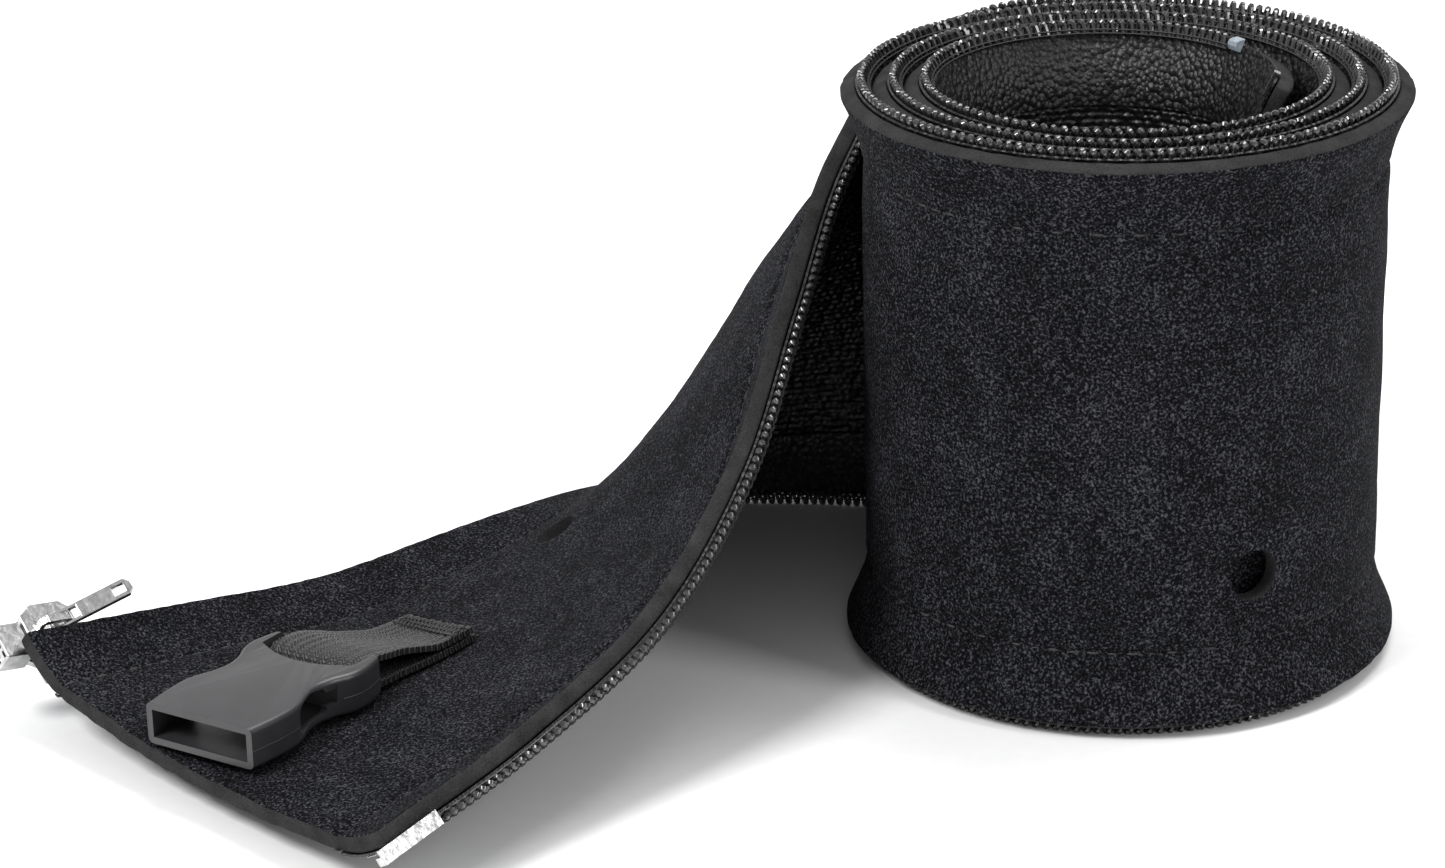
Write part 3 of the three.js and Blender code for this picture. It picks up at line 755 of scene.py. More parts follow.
def wire(name: str, paths: Iterable[Array], radii: Iterable[Array],
         radius: float, sides: int) -> bpy.types.Mesh:
    """Makes one mesh of round wires.

    Args:
        name: the mesh's name.
        paths: each wire's points, in metres.
        radii: each point's share of the radius.
        radius: the wires' radius, in millimetres.
        sides: 0 gives four sides, and each one more gives two more.

    Returns:
        The mesh.
    """
    curve = bpy.data.curves.new(name, "CURVE")
    curve.dimensions = "3D"
    curve.bevel_depth = radius * MM
    curve.bevel_resolution = sides
    curve.use_fill_caps = True
    for path, shares in zip(paths, radii):
        spline = curve.splines.new("POLY")
        spline.points.add(len(path) - 1)
        spline.points.foreach_set("co", np.hstack([path, np.ones((len(path), 1))]).ravel())
        spline.points.foreach_set("radius", shares)
    maker = bpy.data.objects.new(name, curve)
    bpy.context.scene.collection.objects.link(maker)
    mesh = bpy.data.meshes.new_from_object(maker.evaluated_get(bpy.context.evaluated_depsgraph_get()))
    bpy.data.objects.remove(maker)
    bpy.data.curves.remove(curve)
    mesh.name = name
    mesh.materials.clear()
    return mesh


def cut(piece: bpy.types.Object, cutters: Sequence[bpy.types.Object], operation: str = "DIFFERENCE") -> None:
    """Cuts or joins solids into a piece and removes them.

    Args:
        piece: the object to change.
        cutters: closed solids.
        operation: the Boolean modifier's operation.
    """
    for cutter in cutters:
        modifier = piece.modifiers.new("cut", "BOOLEAN")
        modifier.operation = operation
        modifier.solver = "EXACT"
        modifier.object = cutter
    apply_modifiers(piece)
    for cutter in cutters:
        bpy.data.objects.remove(cutter)


def apply_modifiers(piece: bpy.types.Object) -> None:
    """Replaces a piece's mesh by what its modifiers make of it."""
    graph = bpy.context.evaluated_depsgraph_get()
    graph.update()
    mesh = bpy.data.meshes.new_from_object(piece.evaluated_get(graph))
    piece.modifiers.clear()
    old = piece.data
    piece.data = mesh
    bpy.data.meshes.remove(old)


def loose(bm: bmesh.types.BMesh, name: str) -> bpy.types.Object:
    """Makes a plain object of a bmesh, for cutting."""
    mesh = bpy.data.meshes.new(name)
    bm.to_mesh(mesh)
    bm.free()
    solid = bpy.data.objects.new(name, mesh)
    bpy.context.scene.collection.objects.link(solid)
    return solid


# The sleeve.

@dataclass
class Sleeve:
    """The padded strip with its punched holes and its two rows of sewing."""

    strip: Strip
    finishes: Finishes
    run_step: float = 1.6
    width_step: float = 2.5
    edge_round: float = 0.5
    hole_diameter: float = 9.0
    hole_from_foot: float = 25.0
    hole_first: float = 106.0
    hole_spacing: float = 245.0
    hole_count: int = 4
    groove_depth: float = 0.55
    groove_half: float = 0.95
    stitch_pitch: float = 3.3
    stitch_radius: float = 0.24
    groove_lines: tuple[float, ...] = (0.4, 0.8, 1.3, 2.0)
    rim_line: float = 1.1
    rim_angle: float = 1.0
    face_lean: float = 0.75
    wave: float = 0.35
    wave_size: tuple[float, float] = (17.0, 13.0)
    fuzz: float = 0.1
    fuzz_size: float = 2.6
    fray: float = 0.16
    end_fray: float = 0.35
    fray_reach: float = 2.0

    def _widths(self) -> list[float]:
        """Lines along the strip, closer at the grooves and the rims."""
        s = self.strip
        steps = round(2 * s.half_width / self.width_step)
        lines = set(np.round(np.linspace(-s.half_width, s.half_width, steps + 1), 3))
        for side in (-1, 1):
            for offset in self.groove_lines:
                lines.add(round(side * (s.stitch + offset), 3))
                lines.add(round(side * (s.stitch - offset), 3))
            lines.add(side * (s.half_width - self.rim_line))
        return sorted(float(line) for line in lines)

    def build(self) -> None:
        """Makes the padded strip."""
        s = self.strip
        length = s.tail - s.inner_end
        runs = list(np.linspace(s.inner_end, s.tail, round(length / self.run_step) + 1))
        half = s.thick / 2

        def is_rim(edge: Any) -> bool:
            """Whether an edge runs round the slab's border."""
            return len(edge.link_faces) == 2 and edge.calc_face_angle() > self.rim_angle

        flat = Flat().slab(runs, self._widths(), -half, half).soften(self.edge_round, 2, is_rim)
        piece = loose(flat.bm, "neoprene")
        cut(piece, [self._punch(k) for k in range(self.hole_count)])
        flat = Flat()
        flat.bm.from_mesh(piece.data)
        bpy.data.objects.remove(piece)
        bmesh.ops.triangulate(flat.bm, faces=[f for f in flat.bm.faces if len(f.verts) > 4])
        bmesh.ops.recalc_face_normals(flat.bm, faces=list(flat.bm.faces))
        for face in flat.bm.faces:
            lean = face.normal.z
            face.material_index = 0 if lean > self.face_lean else 1 if lean < -self.face_lean else 2
        flat.map_flat().move(self._shape)
        sleeve = flat.finish("padded_sleeve", [self.finishes.plush, self.finishes.knit, self.finishes.foam],
                             "sleeve", "plush", ["neoprene_sleeve"])

    def _punch(self, number: int) -> bpy.types.Object:
        """One hole's cutter, in flat places."""
        s = self.strip
        bm = bmesh.new()
        at = Matrix.Translation((s.tail - self.hole_first - number * self.hole_spacing,
                                 self.hole_from_foot - s.half_width, 0))
        bmesh.ops.create_cone(bm, cap_ends=True, segments=36, radius1=self.hole_diameter / 2,
                              radius2=self.hole_diameter / 2, depth=3 * s.thick, matrix=at)
        return loose(bm, "punch")

    def _shape(self, run: Array, width: Array, height: Array) -> Array:
        """Adds grooves, waves and ragged rims, and wraps the slab.

        Args:
            run: flat lengths.
            width: flat distances across.
            height: flat heights.

        Returns:
            Points in the frame's metres.
        """
        s = self.strip
        face = height / (s.thick / 2)
        groove = np.exp(-((np.abs(width) - s.stitch) / self.groove_half) ** 2)
        pucker = 0.8 + 0.2 * np.cos(run * (math.tau / (2 * self.stitch_pitch)))
        deep = height - face * groove * pucker * self.groove_depth * np.where(face > 0, 1.0, 0.5)
        long, wide = self.wave_size
        soft = np.array([noise.noise(Vector((r / long, w / wide, 3.0))) for r, w in zip(run, width)])
        fine = np.array([noise.noise(Vector((r / self.fuzz_size, w / self.fuzz_size, 9.0)))
                         for r, w in zip(run, width)])
        rim = smooth((np.abs(width) - s.half_width + self.fray_reach) / self.fray_reach)
        ragged = np.sign(width) * rim * fine * self.fray
        outer = np.where(face > 0, 1.0, 0.0)
        lift = outer * (soft * self.wave + fine * self.fuzz) * (1 - 0.5 * rim)
        end = smooth((run - s.tail + self.fray_reach) / self.fray_reach)
        return s.wrap(run + end * fine * self.end_fray, width + ragged, deep + lift)

    def sew(self) -> None:
        """Lays the two rows of stitches in their grooves."""
        s = self.strip
        paths, radii = [], []
        half = s.thick / 2
        top = half - self.groove_depth + self.stitch_radius * 0.35
        for side in (-1, 1):
            run = s.inner_end + 1.5
            while run < s.tail - self.stitch_pitch:
                for face in (1, -1):
                    depth = top if face > 0 else half - self.groove_depth * 0.5
                    t = np.linspace(0, 1, 6)
                    bow = np.sin(t * math.pi) ** 0.5
                    start = run + (0 if face > 0 else self.stitch_pitch * 0.5)
                    heights = face * (depth - 0.7 + 0.7 * bow)
                    paths.append(s.wrap(start + t * self.stitch_pitch * 0.82,
                                        np.full_like(t, side * s.stitch), heights))
                    radii.append(0.8 + 0.2 * bow)
                run += self.stitch_pitch
        mesh = wire("sleeve_stitching", paths, radii, self.stitch_radius, 0)
        settle(mesh, "sleeve_stitching", [self.finishes.thread], "sleeve")


@dataclass
class Zipper:
    """One half of the zipper: its woven tape, its coil and the sewing that holds the coil."""

    strip: Strip
    finishes: Finishes
    side: Side
    tape_end: float
    coil_start: float = 27.0
    coil_end: float = 222.6
    coil_pitch: float = 1.72
    coil_back: float = -1.8
    coil_front: float = 1.3
    coil_top: float = -0.35
    coil_thick: float = 1.5
    wire_radius: float = 0.47
    turn_points: int = 16
    tape_proud: float = 0.2
    tape_lines: int = 9
    squash: float = 0.62
    head_lead: float = 0.16
    thread_radius: float = 0.14
    thread_wave: float = 0.16
    thread_past: tuple[float, float] = (0.55, 1.2)

    @property
    def label(self) -> str:
        """The half's name in the frame."""
        return "top" if self.side is Side.NEAR else "bottom"

    def _level(self, run: Array, height: Array | float) -> Array:
        """Heights off the tape, as heights off the strip's middle."""
        return self.strip.tape_mid - self.strip.drop(self.side, run) + height

    def build_tape(self) -> None:
        """Makes the woven tape."""
        s = self.strip
        runs = list(np.linspace(s.inner_end, self.tape_end, round((self.tape_end - s.inner_end) / 2.4) + 1))
        reach = np.linspace(s.stitch, s.half_width + self.tape_proud, self.tape_lines)
        widths = sorted(self.side.value * w for w in reach)
        half = s.tape_thick / 2

        def onto(run: Array, width: Array, height: Array) -> Array:
            """Hangs the tape inside the flare, lower near the tail's end."""
            reach = smooth((np.abs(width) - s.stitch) / (s.half_width - s.stitch) * 1.6)
            return s.wrap(run, width, s.tape_mid + height - s.drop(self.side, run) * reach)

        flat = Flat().slab(runs, widths, -half, half).map_flat().move(onto)
        flat.finish(f"tape_{self.label}", [self.finishes.tape], "sleeve", "tape",
                    [f"zipper_tape_{self.label}"])

    def build_coil(self) -> None:
        """Winds the coil, a flattened helix with broad heads."""
        s = self.strip
        start, end = s.inner_end + self.coil_start, self.coil_end
        turns = int((end - start) / self.coil_pitch)
        count = turns * self.turn_points + 1
        phase = np.arange(count) * (math.tau / self.turn_points)
        reach = (self.coil_front - self.coil_back) / 2 - self.wire_radius
        rise = self.coil_thick / 2 - self.wire_radius
        out, up = np.cos(phase), np.sin(phase)
        past = (self.coil_front + self.coil_back) / 2 + reach * np.sign(out) * np.abs(out) ** self.squash
        height = self.coil_top - self.coil_thick / 2 + rise * np.sign(up) * np.abs(up) ** self.squash
        # The helix advances a little faster round its heads than round its backs.
        run = start + (phase / math.tau + self.head_lead * np.sin(phase) / math.tau) * self.coil_pitch
        run = np.minimum(run, end)
        width = self.side.value * (s.half_width + past)
        path = s.wrap(run, width, self._level(run, height))
        radii = 0.9 + 0.32 * smooth((out - 0.2) / 0.8)
        mesh = wire(f"coil_{self.label}", [path], [radii], self.wire_radius, 1)
        settle(mesh, f"coil_{self.label}", [self.finishes.coil], "sleeve",
               [f"zipper_coil_{self.label}"])

    def build_sewing(self) -> None:
        """Lays the two threads that hold the coil to the tape."""
        s = self.strip
        start, end = s.inner_end + self.coil_start, self.coil_end
        paths, radii = [], []
        for past in (self.coil_back + offset for offset in self.thread_past):
            run = np.arange(start, end, self.coil_pitch / 4)
            wave = self.thread_wave * np.cos(run * (math.tau / self.coil_pitch))
            height = self.coil_top - self.coil_thick - 0.02 + wave
            width = np.full_like(run, self.side.value * (s.half_width + past))
            paths.append(s.wrap(run, width, self._level(run, height)))
            radii.append(np.ones_like(run))
        mesh = wire(f"coil_thread_{self.label}", paths, radii, self.thread_radius, 0)
        settle(mesh, f"coil_thread_{self.label}", [self.finishes.thread], "sleeve")


# The webbing loop and the buckle socket.

@dataclass
class BuckleSeat:
    """Where the buckle and its webbing lie on the strip."""

    strip: Strip
    from_tail: float = 34.3
    far_offset: float = 8.2
    yaw: float = math.radians(13.6)
    bar_height: float = 3.7
    ahead_step: float = 30.0

    def __post_init__(self) -> None:
        """Works out the buckle's frame from the joint that carries it."""
        joint = next(j for j in frame["record"]["behaviour"]["joints"] if j["name"] == "buckle_swing")
        sideways = -Vector(joint["axis"])
        zero = np.zeros(1)
        reached = self.spot(np.array([self.ahead_step]), zero, zero)[0]
        ahead = Vector(reached - self.spot(zero, zero, zero)[0])
        ahead = (ahead - sideways * ahead.dot(sideways)).normalized()
        up = ahead.cross(sideways).normalized()
        origin = Vector(joint["pos_m"]) - up * self.bar_height * MM
        self.matrix = Matrix.Translation(origin) @ Matrix((ahead, sideways, up)).transposed().to_4x4()

    def spot(self, x: Array, y: Array, height: Array) -> Array:
        """Points over the strip's outer face, from plan places by the buckle's bar."""
        run = self.strip.tail - self.from_tail + x * math.cos(self.yaw) - y * math.sin(self.yaw)
        across = -self.far_offset + x * math.sin(self.yaw) + y * math.cos(self.yaw)
        return self.strip.place(run, across, self.strip.thick / 2 + height)

    def rigid(self, x: Array, y: Array, z: Array) -> Array:
        """Points in the buckle's own frame, in the frame's metres."""
        m = np.array(self.matrix)
        return np.stack([x, y, z], axis=1) * MM @ m[:3, :3].T + m[:3, 3]


@dataclass
class Strap:
    """The webbing folded round the buckle's bar, with its sewn end."""

    seat: BuckleSeat
    finishes: Finishes
    half_width: float = 9.6
    thick: float = 1.3
    length: float = 30.5
    sewn: float = 9.0
    bar_radius: float = 1.6
    gap: float = 0.3
    ribs: int = 9
    layer_gap: float = 0.15
    pick: float = 1.5
    line_step: float = 0.35
    smoothings: int = 14
    thread_radius: float = 0.24
    tack_rows: tuple[float, ...] = (1.6, 3.0, 4.4)

    def _line(self) -> tuple[Array, Array]:
        """The loop's middle line: distances ahead of the bar and heights over the strip."""
        half = self.thick / 2
        bar = self.seat.bar_height + self._lift()
        wrap = self.bar_radius + self.gap + half
        low = self.gap + half
        high = low + self.thick + self.layer_gap
        knots = [(-self.length, low), (-self.length + self.sewn, low), (-self.length * 0.45, low + 0.2),
                 (-5.0, bar - wrap - 0.25)]
        for degrees in range(-90, 91, 15):
            a = math.radians(degrees)
            knots.append((wrap * math.cos(a), bar + wrap * math.sin(a)))
        knots += [(-5.0, bar + wrap - 0.5), (-self.length * 0.45, high + 2.2),
                  (-self.length + self.sewn, high + 0.1), (-self.length, high)]
        k = np.array(knots)
        chord = np.concatenate([[0], np.cumsum(np.linalg.norm(np.diff(k, axis=0), axis=1))])
        fine = np.arange(0, chord[-1], self.line_step)
        rough = np.stack([np.interp(fine, chord, k[:, 0]), np.interp(fine, chord, k[:, 1])], axis=1)
        for _ in range(self.smoothings):
            rough[1:-1] = rough[1:-1] * 0.5 + (rough[:-2] + rough[2:]) * 0.25
        return fine, rough

    def build(self) -> None:
        """Makes the webbing with its ribs and knobbly edges."""
        fine, line = self._line()
        total = float(fine[-1])
        slope = np.gradient(line, axis=0)
        slope /= np.linalg.norm(slope, axis=1, keepdims=True)
        runs = list(np.linspace(0, total, 170))
        widths = list(np.linspace(-self.half_width, self.half_width, 8 * self.ribs + 1))
        half = self.thick / 2
        rib = 2 * self.half_width / self.ribs

        def onto(run: Array, width: Array, height: Array) -> Array:
            """Follows the loop's line and the strip below it."""
            face = np.sign(height)
            crown = np.cos(width * (math.tau / rib)) * 0.5 + 0.5
            picks = np.sin(run * (math.tau / self.pick) + np.round(width / rib) * 2.1) * 0.5 + 0.5
            edge = smooth((np.abs(width) - self.half_width + 1.0) / 1.0)
            thickness = height + face * (crown * 0.2 - 0.2 + picks * 0.08) * (1 - edge) - face * edge * 0.12
            wide = width + np.sign(width) * edge * 0.2 * np.sin(run * (math.tau / self.pick))
            d = np.interp(run, fine, line[:, 0]) - thickness * np.interp(run, fine, slope[:, 1])
            h = np.interp(run, fine, line[:, 1]) + thickness * np.interp(run, fine, slope[:, 0])
            back = np.maximum(-d, 0)
            turn = self.seat.yaw * np.minimum(back / self.length, 1)
            x = np.where(d < 0, d * np.cos(turn / 2) + wide * np.sin(turn), d)
            y = np.where(d < 0, -d * np.sin(turn / 2) + wide * np.cos(turn), wide)
            flat = self.seat.rigid(x, y, h - self._lift())
            hugging = self.seat.spot(x, y, h)
            mix = smooth((back - 4) / 10)[:, None]
            return flat * (1 - mix) + hugging * mix

        piece = Flat().slab(runs, widths, -half, half).map_flat().move(onto)
        piece.finish("webbing_loop", [self.finishes.webbing], "sleeve", "webbing", ["strap_loop"])

    def _lift(self) -> float:
        """How far the buckle's underside lies over the strip at its bar."""
        seat = self.seat
        base = seat.spot(np.zeros(1), np.zeros(1), np.zeros(1))[0]
        return float(np.linalg.norm(seat.rigid(np.zeros(1), np.zeros(1), np.zeros(1))[0] - base)) / MM

    def tack(self) -> None:
        """Sews the webbing's end down with rows of dense stitches."""
        top = self.gap + self.thick * 2 + self.layer_gap
        rows = [row - self.length for row in self.tack_rows]
        paths, radii = [], []
        for index, d in enumerate(rows):
            v = np.linspace(-self.half_width + 0.8, self.half_width - 0.8, 90)
            zig = 0.55 * np.sin(v * (math.tau / 1.1) + index)
            height = top + 0.16 + 0.1 * np.cos(v * (math.tau / 0.55))
            x = (d + zig) * math.cos(self.seat.yaw / 2) + v * math.sin(self.seat.yaw)
            y = -(d + zig) * math.sin(self.seat.yaw / 2) + v * math.cos(self.seat.yaw)
            paths.append(self.seat.spot(x, y, height))
            radii.append(np.ones_like(v))
        mesh = wire("strap_stitching", paths, radii, self.thread_radius, 0)
        settle(mesh, "strap_stitching", [self.finishes.thread], "sleeve", ["strap_bartack"])


@dataclass
class Buckle:
    """The moulded socket: a waisted shell with side windows, a bar and a guide pip."""

    seat: BuckleSeat
    finishes: Finishes
    height: float = 7.4
    length: float = 35.0
    bar: float = 1.6
    bar_inset: float = 2.4
    wall: float = 1.2
    bevel: float = 2.7
    hollow_bevel: float = 1.9
    side_wall: float = 3.4
    outline: tuple[tuple[float, float], ...] = (
        (0, 10.2), (0.6, 11.2), (3.0, 11.9), (6.0, 12.3), (9.0, 11.8), (12.0, 10.4), (15.5, 9.7),
        (19.0, 10.3), (23.5, 11.9), (28.0, 12.0), (32.0, 11.6), (35.0, 11.2))
    hip_half: float = 12.0
    pocket_half: float = 9.9
    pocket_end: float = 5.0
    pocket_bow: float = 1.6
    cavity_from: float = 8.8
    window: tuple[float, float] = (11.3, 20.6)
    window_level: tuple[float, float] = (1.7, 6.7)
    notch: float = 2.2

    def _plan(self) -> list[tuple[float, float]]:
        """One side of the outline as a smooth curve."""
        points = np.array(self.outline)
        fine = np.linspace(0, len(points) - 1, 45)
        out = []
        for value in fine:
            i = min(int(value), len(points) - 2)
            f = value - i
            p = [points[min(max(i + k, 0), len(points) - 1)] for k in (-1, 0, 1, 2)]
            out.append(tuple(0.5 * (2 * p[1] + (p[2] - p[0]) * f
                                    + (2 * p[0] - 5 * p[1] + 4 * p[2] - p[3]) * f ** 2
                                    + (3 * p[1] - p[0] - 3 * p[2] + p[3]) * f ** 3)))
        return [(x - self.bar_inset, y) for x, y in out]

    def _prism(self, points: Sequence[tuple[float, float]], low: float, high: float,
               name: str) -> bpy.types.Object:
        """An upright solid on an outline.

        Args:
            points: the outline.
            low: its foot.
            high: its top.
            name: the object's name.

        Returns:
            The object, in the buckle's own millimetres.
        """
        bm = bmesh.new()
        ring = [bm.verts.new((x, y, low)) for x, y in points]
        face = bm.faces.new(ring)
        grown = bmesh.ops.extrude_face_region(bm, geom=[face])["geom"]
        lifted = [v for v in grown if isinstance(v, bmesh.types.BMVert)]
        bmesh.ops.translate(bm, vec=(0, 0, high - low), verts=lifted)
        bmesh.ops.recalc_face_normals(bm, faces=list(bm.faces))
        return loose(bm, name)

    def _shell(self) -> bpy.types.Object:
        """The outer shell, rounded over its long edges."""
        side = self._plan()
        outline = side + [(x, -y) for x, y in reversed(side)]
        shell = self._prism(outline, 0, self.height, "shell")
        bm = bmesh.new()
        bm.from_mesh(shell.data)
        mouth = self.length - self.bar_inset
        rims = [e for e in bm.edges if abs(e.verts[0].co.z - e.verts[1].co.z) < 1e-6
                and not all(v.co.x > mouth - 0.01 for v in e.verts)]
        bmesh.ops.bevel(bm, geom=rims, offset=self.bevel, offset_type="OFFSET", segments=5, profile=0.5,
                        affect="EDGES", material=-1, clamp_overlap=True)
        bm.to_mesh(shell.data)
        bm.free()
        return shell

    def _cavity(self) -> bpy.types.Object:
        """The hollow behind the mouth, with rounded corners."""
        mouth = self.length - self.bar_inset
        side = [(x, y - self.wall) for x, y in self._plan() if x > self.cavity_from]
        side = [(self.cavity_from, side[0][1])] + side + [(mouth + 2, side[-1][1])]
        points = side + [(x, -y) for x, y in reversed(side)]
        hollow = self._prism(points, self.wall, self.height - self.wall, "hollow")
        bm = bmesh.new()
        bm.from_mesh(hollow.data)
        rims = [e for e in bm.edges if abs(e.verts[0].co.z - e.verts[1].co.z) < 1e-6]
        bmesh.ops.bevel(bm, geom=rims, offset=self.hollow_bevel, offset_type="OFFSET", segments=5,
                        profile=0.5,
                        affect="EDGES", material=-1, clamp_overlap=True)
        bm.to_mesh(hollow.data)
        bm.free()
        return hollow

    def _window(self) -> list[bpy.types.Object]:
        """The side windows: an arch with a narrower notch at its rear."""
        low, high = self.window_level
        start, end = self.window
        arch = [(start, low + 0.5), (start + 0.5, low), (end - 0.6, low), (end, low + 0.8),
                (end, high - 0.9), (end - 0.9, high - 0.1), (start + 4.0, high + 0.1),
                (start + 0.6, high - 0.5), (start, high - 1.2)]
        notch = [(start - self.notch, low + 1.2), (start + 1, low + 1.2), (start + 1, high - 1.3),
                 (start - self.notch, high - 1.3)]
        cutters = []
        for name, points in (("window", arch), ("notch", notch)):
            inside, outside = self.hip_half - self.side_wall - 2, self.hip_half + 8
            for near, far in ((inside, outside), (-outside, -inside)):
                solid = self._prism(points, near, far, name)
                solid.data.transform(Matrix.Rotation(math.pi / 2, 4, "X"))
                cutters.append(solid)
        return cutters

    def build(self) -> None:
        """Cuts, joins and places the socket."""
        mouth = self.length - self.bar_inset
        shell = self._shell()
        bow = [(self.pocket_end + self.pocket_bow * (1 - 2 * (y / self.pocket_half) ** 2), y)
               for y in np.linspace(-self.pocket_half, self.pocket_half, 25)]
        well = self._prism([(-self.bar_inset - 3, -self.pocket_half), *bow,
                            (-self.bar_inset - 3, self.pocket_half)], -2, self.height + 2, "well")
        cut(shell, [self._cavity(), well, *self._window()])
        bar = bmesh.new()
        turn = Matrix.Translation((0, 0, self.height / 2)) @ Matrix.Rotation(math.pi / 2, 4, "X")
        bmesh.ops.create_cone(bar, cap_ends=True, segments=24, radius1=self.bar, radius2=self.bar,
                              depth=2 * self.pocket_half + 1, matrix=turn)
        pip = bmesh.new()
        bmesh.ops.create_uvsphere(pip, u_segments=16, v_segments=10, radius=0.7,
                                  matrix=Matrix.Translation((mouth - 1.2, 0, self.height - self.wall)))
        cut(shell, [loose(bar, "bar"), loose(pip, "pip")], "UNION")
        shell.data.transform(Matrix.Scale(MM, 4))
        soft = shell.modifiers.new("edges", "BEVEL")
        soft.width = 0.22 * MM
        soft.segments = 2
        soft.limit_method = "ANGLE"
        soft.angle_limit = math.radians(38)
        soft.use_clamp_overlap = True
        soft.harden_normals = False
        apply_modifiers(shell)
        mesh = shell.data
        bpy.data.objects.remove(shell)
        mesh.transform(self.seat.matrix)
        settle(mesh, "socket", [self.finishes.plastic], "buckle", ["buckle_socket"])
        self._seam()

    def _seam(self) -> None:
        """The fine mould seam round the shell at mid height."""
        side = [(x, y + 0.01) for x, y in self._plan()]
        z = self.height / 2 - 0.35
        paths, radii = [], []
        start, end = self.window
        for sign in (-1, 1):
            for keep in (lambda x: x < start - self.notch - 0.3, lambda x: x > end + 0.3):
                points = np.array([(x, sign * y, z) for x, y in side if keep(x)])
                paths.append(self.seat.rigid(points[:, 0], points[:, 1], points[:, 2]))
                radii.append(np.ones(len(points)))
        mesh = wire("socket_seam", paths, radii, 0.07, 0)
        settle(mesh, "socket_seam", [self.finishes.plastic], "buckle")


# Small hardware that the frame already holds in its true shape.

@dataclass
class Hardware:
    """Dresses the frame's own nodes: welds their faces, softens their edges and gives a finish."""

    finishes: Finishes
    edge: dict[str, float] = field(default_factory=lambda: {
        "slider_body": 0.25, "pull_tab": 0.22, "retainer_box": 0.2, "insertion_pin": 0.12,
        "retainer_pin": 0.12, "end_clip": 0.12, "end_stop_top": 0.3, "end_stop_bottom": 0.3,
        "reinforcement_film_top": 0.04, "reinforcement_film_bottom": 0.04})

    def build(self) -> None:
        """Dresses each node."""
        for name, width in self.edge.items():
            node = frame["nodes"][name]
            clear = name.startswith(("end_stop", "reinforcement"))
            node.data.materials.clear()
            node.data.materials.append(self.finishes.clear if clear else self.finishes.nickel)
            weld = node.modifiers.new("weld", "WELD")
            weld.merge_threshold = 0.002 * MM
            soft = node.modifiers.new("edges", "BEVEL")
            soft.width = width * MM
            soft.segments = 3
            soft.limit_method = "ANGLE"
            soft.angle_limit = math.radians(35)
            soft.harden_normals = False
            LOG.info("%s: dressed", name)


# The studio.

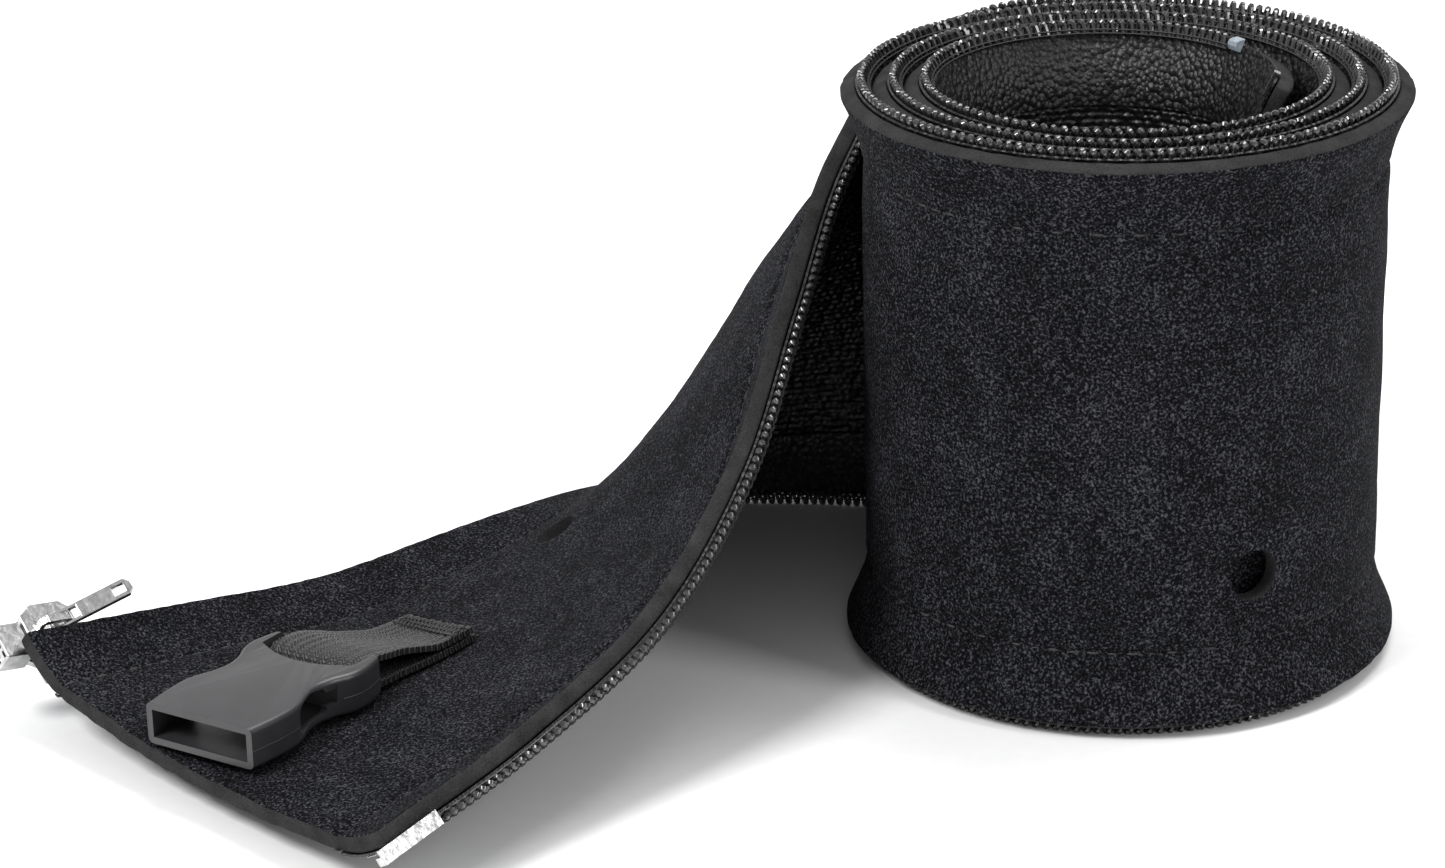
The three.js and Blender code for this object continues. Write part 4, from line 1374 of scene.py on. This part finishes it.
@dataclass
class Studio:
    """Pale floor, soft light and the camera of the photograph."""

    focal: float = 3935.928
    frame_width: float = 1445.0
    distance: float = 699.935
    elevation: float = math.radians(20.6709)
    pan: float = math.radians(5.75)
    tilt: float = math.radians(-1.249)
    roll: float = math.radians(0.73)
    aim_height: float = 50.0
    surround: float = 0.5
    floor_size: tuple[float, float] = (5.0, 4.0)
    bend_from: float = 1.4
    bend_radius: float = 0.9
    origin: tuple[float, float, float] = Strip.origin

    def camera(self) -> None:
        """Places the camera."""
        eye = Vector((0, -self.distance * math.cos(self.elevation),
                      self.distance * math.sin(self.elevation) + self.aim_height))
        forward = (Vector((0, 0, self.aim_height)) - eye).normalized()
        right = Vector((1, 0, 0))
        up = right.cross(forward)
        forward_2 = forward * math.cos(self.pan) - right * math.sin(self.pan)
        right_2 = right * math.cos(self.pan) + forward * math.sin(self.pan)
        forward_3 = forward_2 * math.cos(self.tilt) + up * math.sin(self.tilt)
        up_3 = up * math.cos(self.tilt) - forward_2 * math.sin(self.tilt)
        right_4 = right_2 * math.cos(self.roll) + up_3 * math.sin(self.roll)
        up_4 = up_3 * math.cos(self.roll) - right_2 * math.sin(self.roll)
        data = bpy.data.cameras.new("camera")
        data.sensor_width = 36.0
        data.lens = self.focal / self.frame_width * data.sensor_width
        data.clip_start = 0.01
        camera = bpy.data.objects.new("camera", data)
        turn = Matrix((right_4, up_4, -forward_3)).transposed().to_4x4()
        camera.matrix_world = Matrix.Translation((eye + Vector(self.origin)) * MM) @ turn
        bpy.context.scene.collection.objects.link(camera)
        bpy.context.scene.camera = camera

    def floor(self) -> None:
        """Lays the floor, which curves up behind the object."""
        bm = bmesh.new()
        bmesh.ops.create_grid(bm, x_segments=2, y_segments=24, size=1.0)
        for v in bm.verts:
            y = v.co.y * self.floor_size[1]
            bend = max(y - self.bend_from, 0.0)
            turn = min(bend / self.bend_radius, math.pi / 2)
            v.co = (v.co.x * self.floor_size[0],
                    min(y, self.bend_from) + self.bend_radius * math.sin(turn),
                    self.bend_radius * (1 - math.cos(turn)) + max(bend - self.bend_radius * math.pi / 2, 0))
        mesh = bpy.data.meshes.new("floor")
        bm.to_mesh(mesh)
        bm.free()
        floor = bpy.data.objects.new("floor", mesh)
        bpy.context.scene.collection.objects.link(floor)
        mesh.polygons.foreach_set("use_smooth", [True] * len(mesh.polygons))
        dress = Dress("white paper")
        speck = dress.grain(dress.place(), 3.0, 2.0)
        dress.set(Base_Color=dress.ramp(speck, (0.3, 0.93), (0.7, 0.95)), Roughness=0.75,
                  Specular_IOR_Level=0.2)
        mesh.materials.append(dress.material)

    def light(self) -> None:
        """Hangs three soft boxes and a bright even surround."""
        scene = bpy.context.scene
        scene.view_settings.view_transform = "Standard"
        world = bpy.data.worlds.new("surround")
        scene.world = world
        world.use_nodes = True
        ray = world.node_tree.nodes.new("ShaderNodeLightPath")
        seen = world.node_tree.nodes.new("ShaderNodeMapRange")
        seen.inputs["To Min"].default_value = self.surround
        seen.inputs["To Max"].default_value = 1.0
        back = world.node_tree.nodes["Background"]
        back.inputs[0].default_value = (1, 1, 1, 1)
        world.node_tree.links.new(ray.outputs["Is Camera Ray"], seen.inputs[0])
        world.node_tree.links.new(seen.outputs[0], back.inputs[1])
        for name, place, size, power in (
                ("key", (-0.75, -0.6, 1.15), (0.45, 0.45), 17.0),
                ("top", (0.25, 0.45, 1.3), (0.9, 0.6), 13.0),
                ("right", (1.1, -0.5, 0.7), (0.3, 0.9), 6.0)):
            data = bpy.data.lights.new(name, "AREA")
            data.shape = "RECTANGLE"
            data.size, data.size_y = size
            data.energy = power
            lamp = bpy.data.objects.new(name, data)
            lamp.location = place
            aim = Vector((0, 0, 0.05)) - Vector(place)
            lamp.rotation_euler = aim.to_track_quat("-Z", "Y").to_euler()
            scene.collection.objects.link(lamp)


def main() -> None:
    """Builds every piece in order."""
    logging.basicConfig(level=logging.INFO, format="%(name)s: %(message)s")
    studio = Studio()
    studio.camera()
    finishes = Finishes()
    strip = Strip()
    sleeve = Sleeve(strip, finishes)
    sleeve.build()
    sleeve.sew()
    for side, tape_end in ((Side.NEAR, strip.tail), (Side.FAR, strip.tail - 2.9)):
        zipper = Zipper(strip, finishes, side, tape_end)
        zipper.build_tape()
        zipper.build_coil()
        zipper.build_sewing()
    seat = BuckleSeat(strip)
    strap = Strap(seat, finishes)
    strap.build()
    strap.tack()
    Buckle(seat, finishes).build()
    Hardware(finishes).build()
    studio.floor()
    studio.light()


if __name__ == "__main__":
    main()
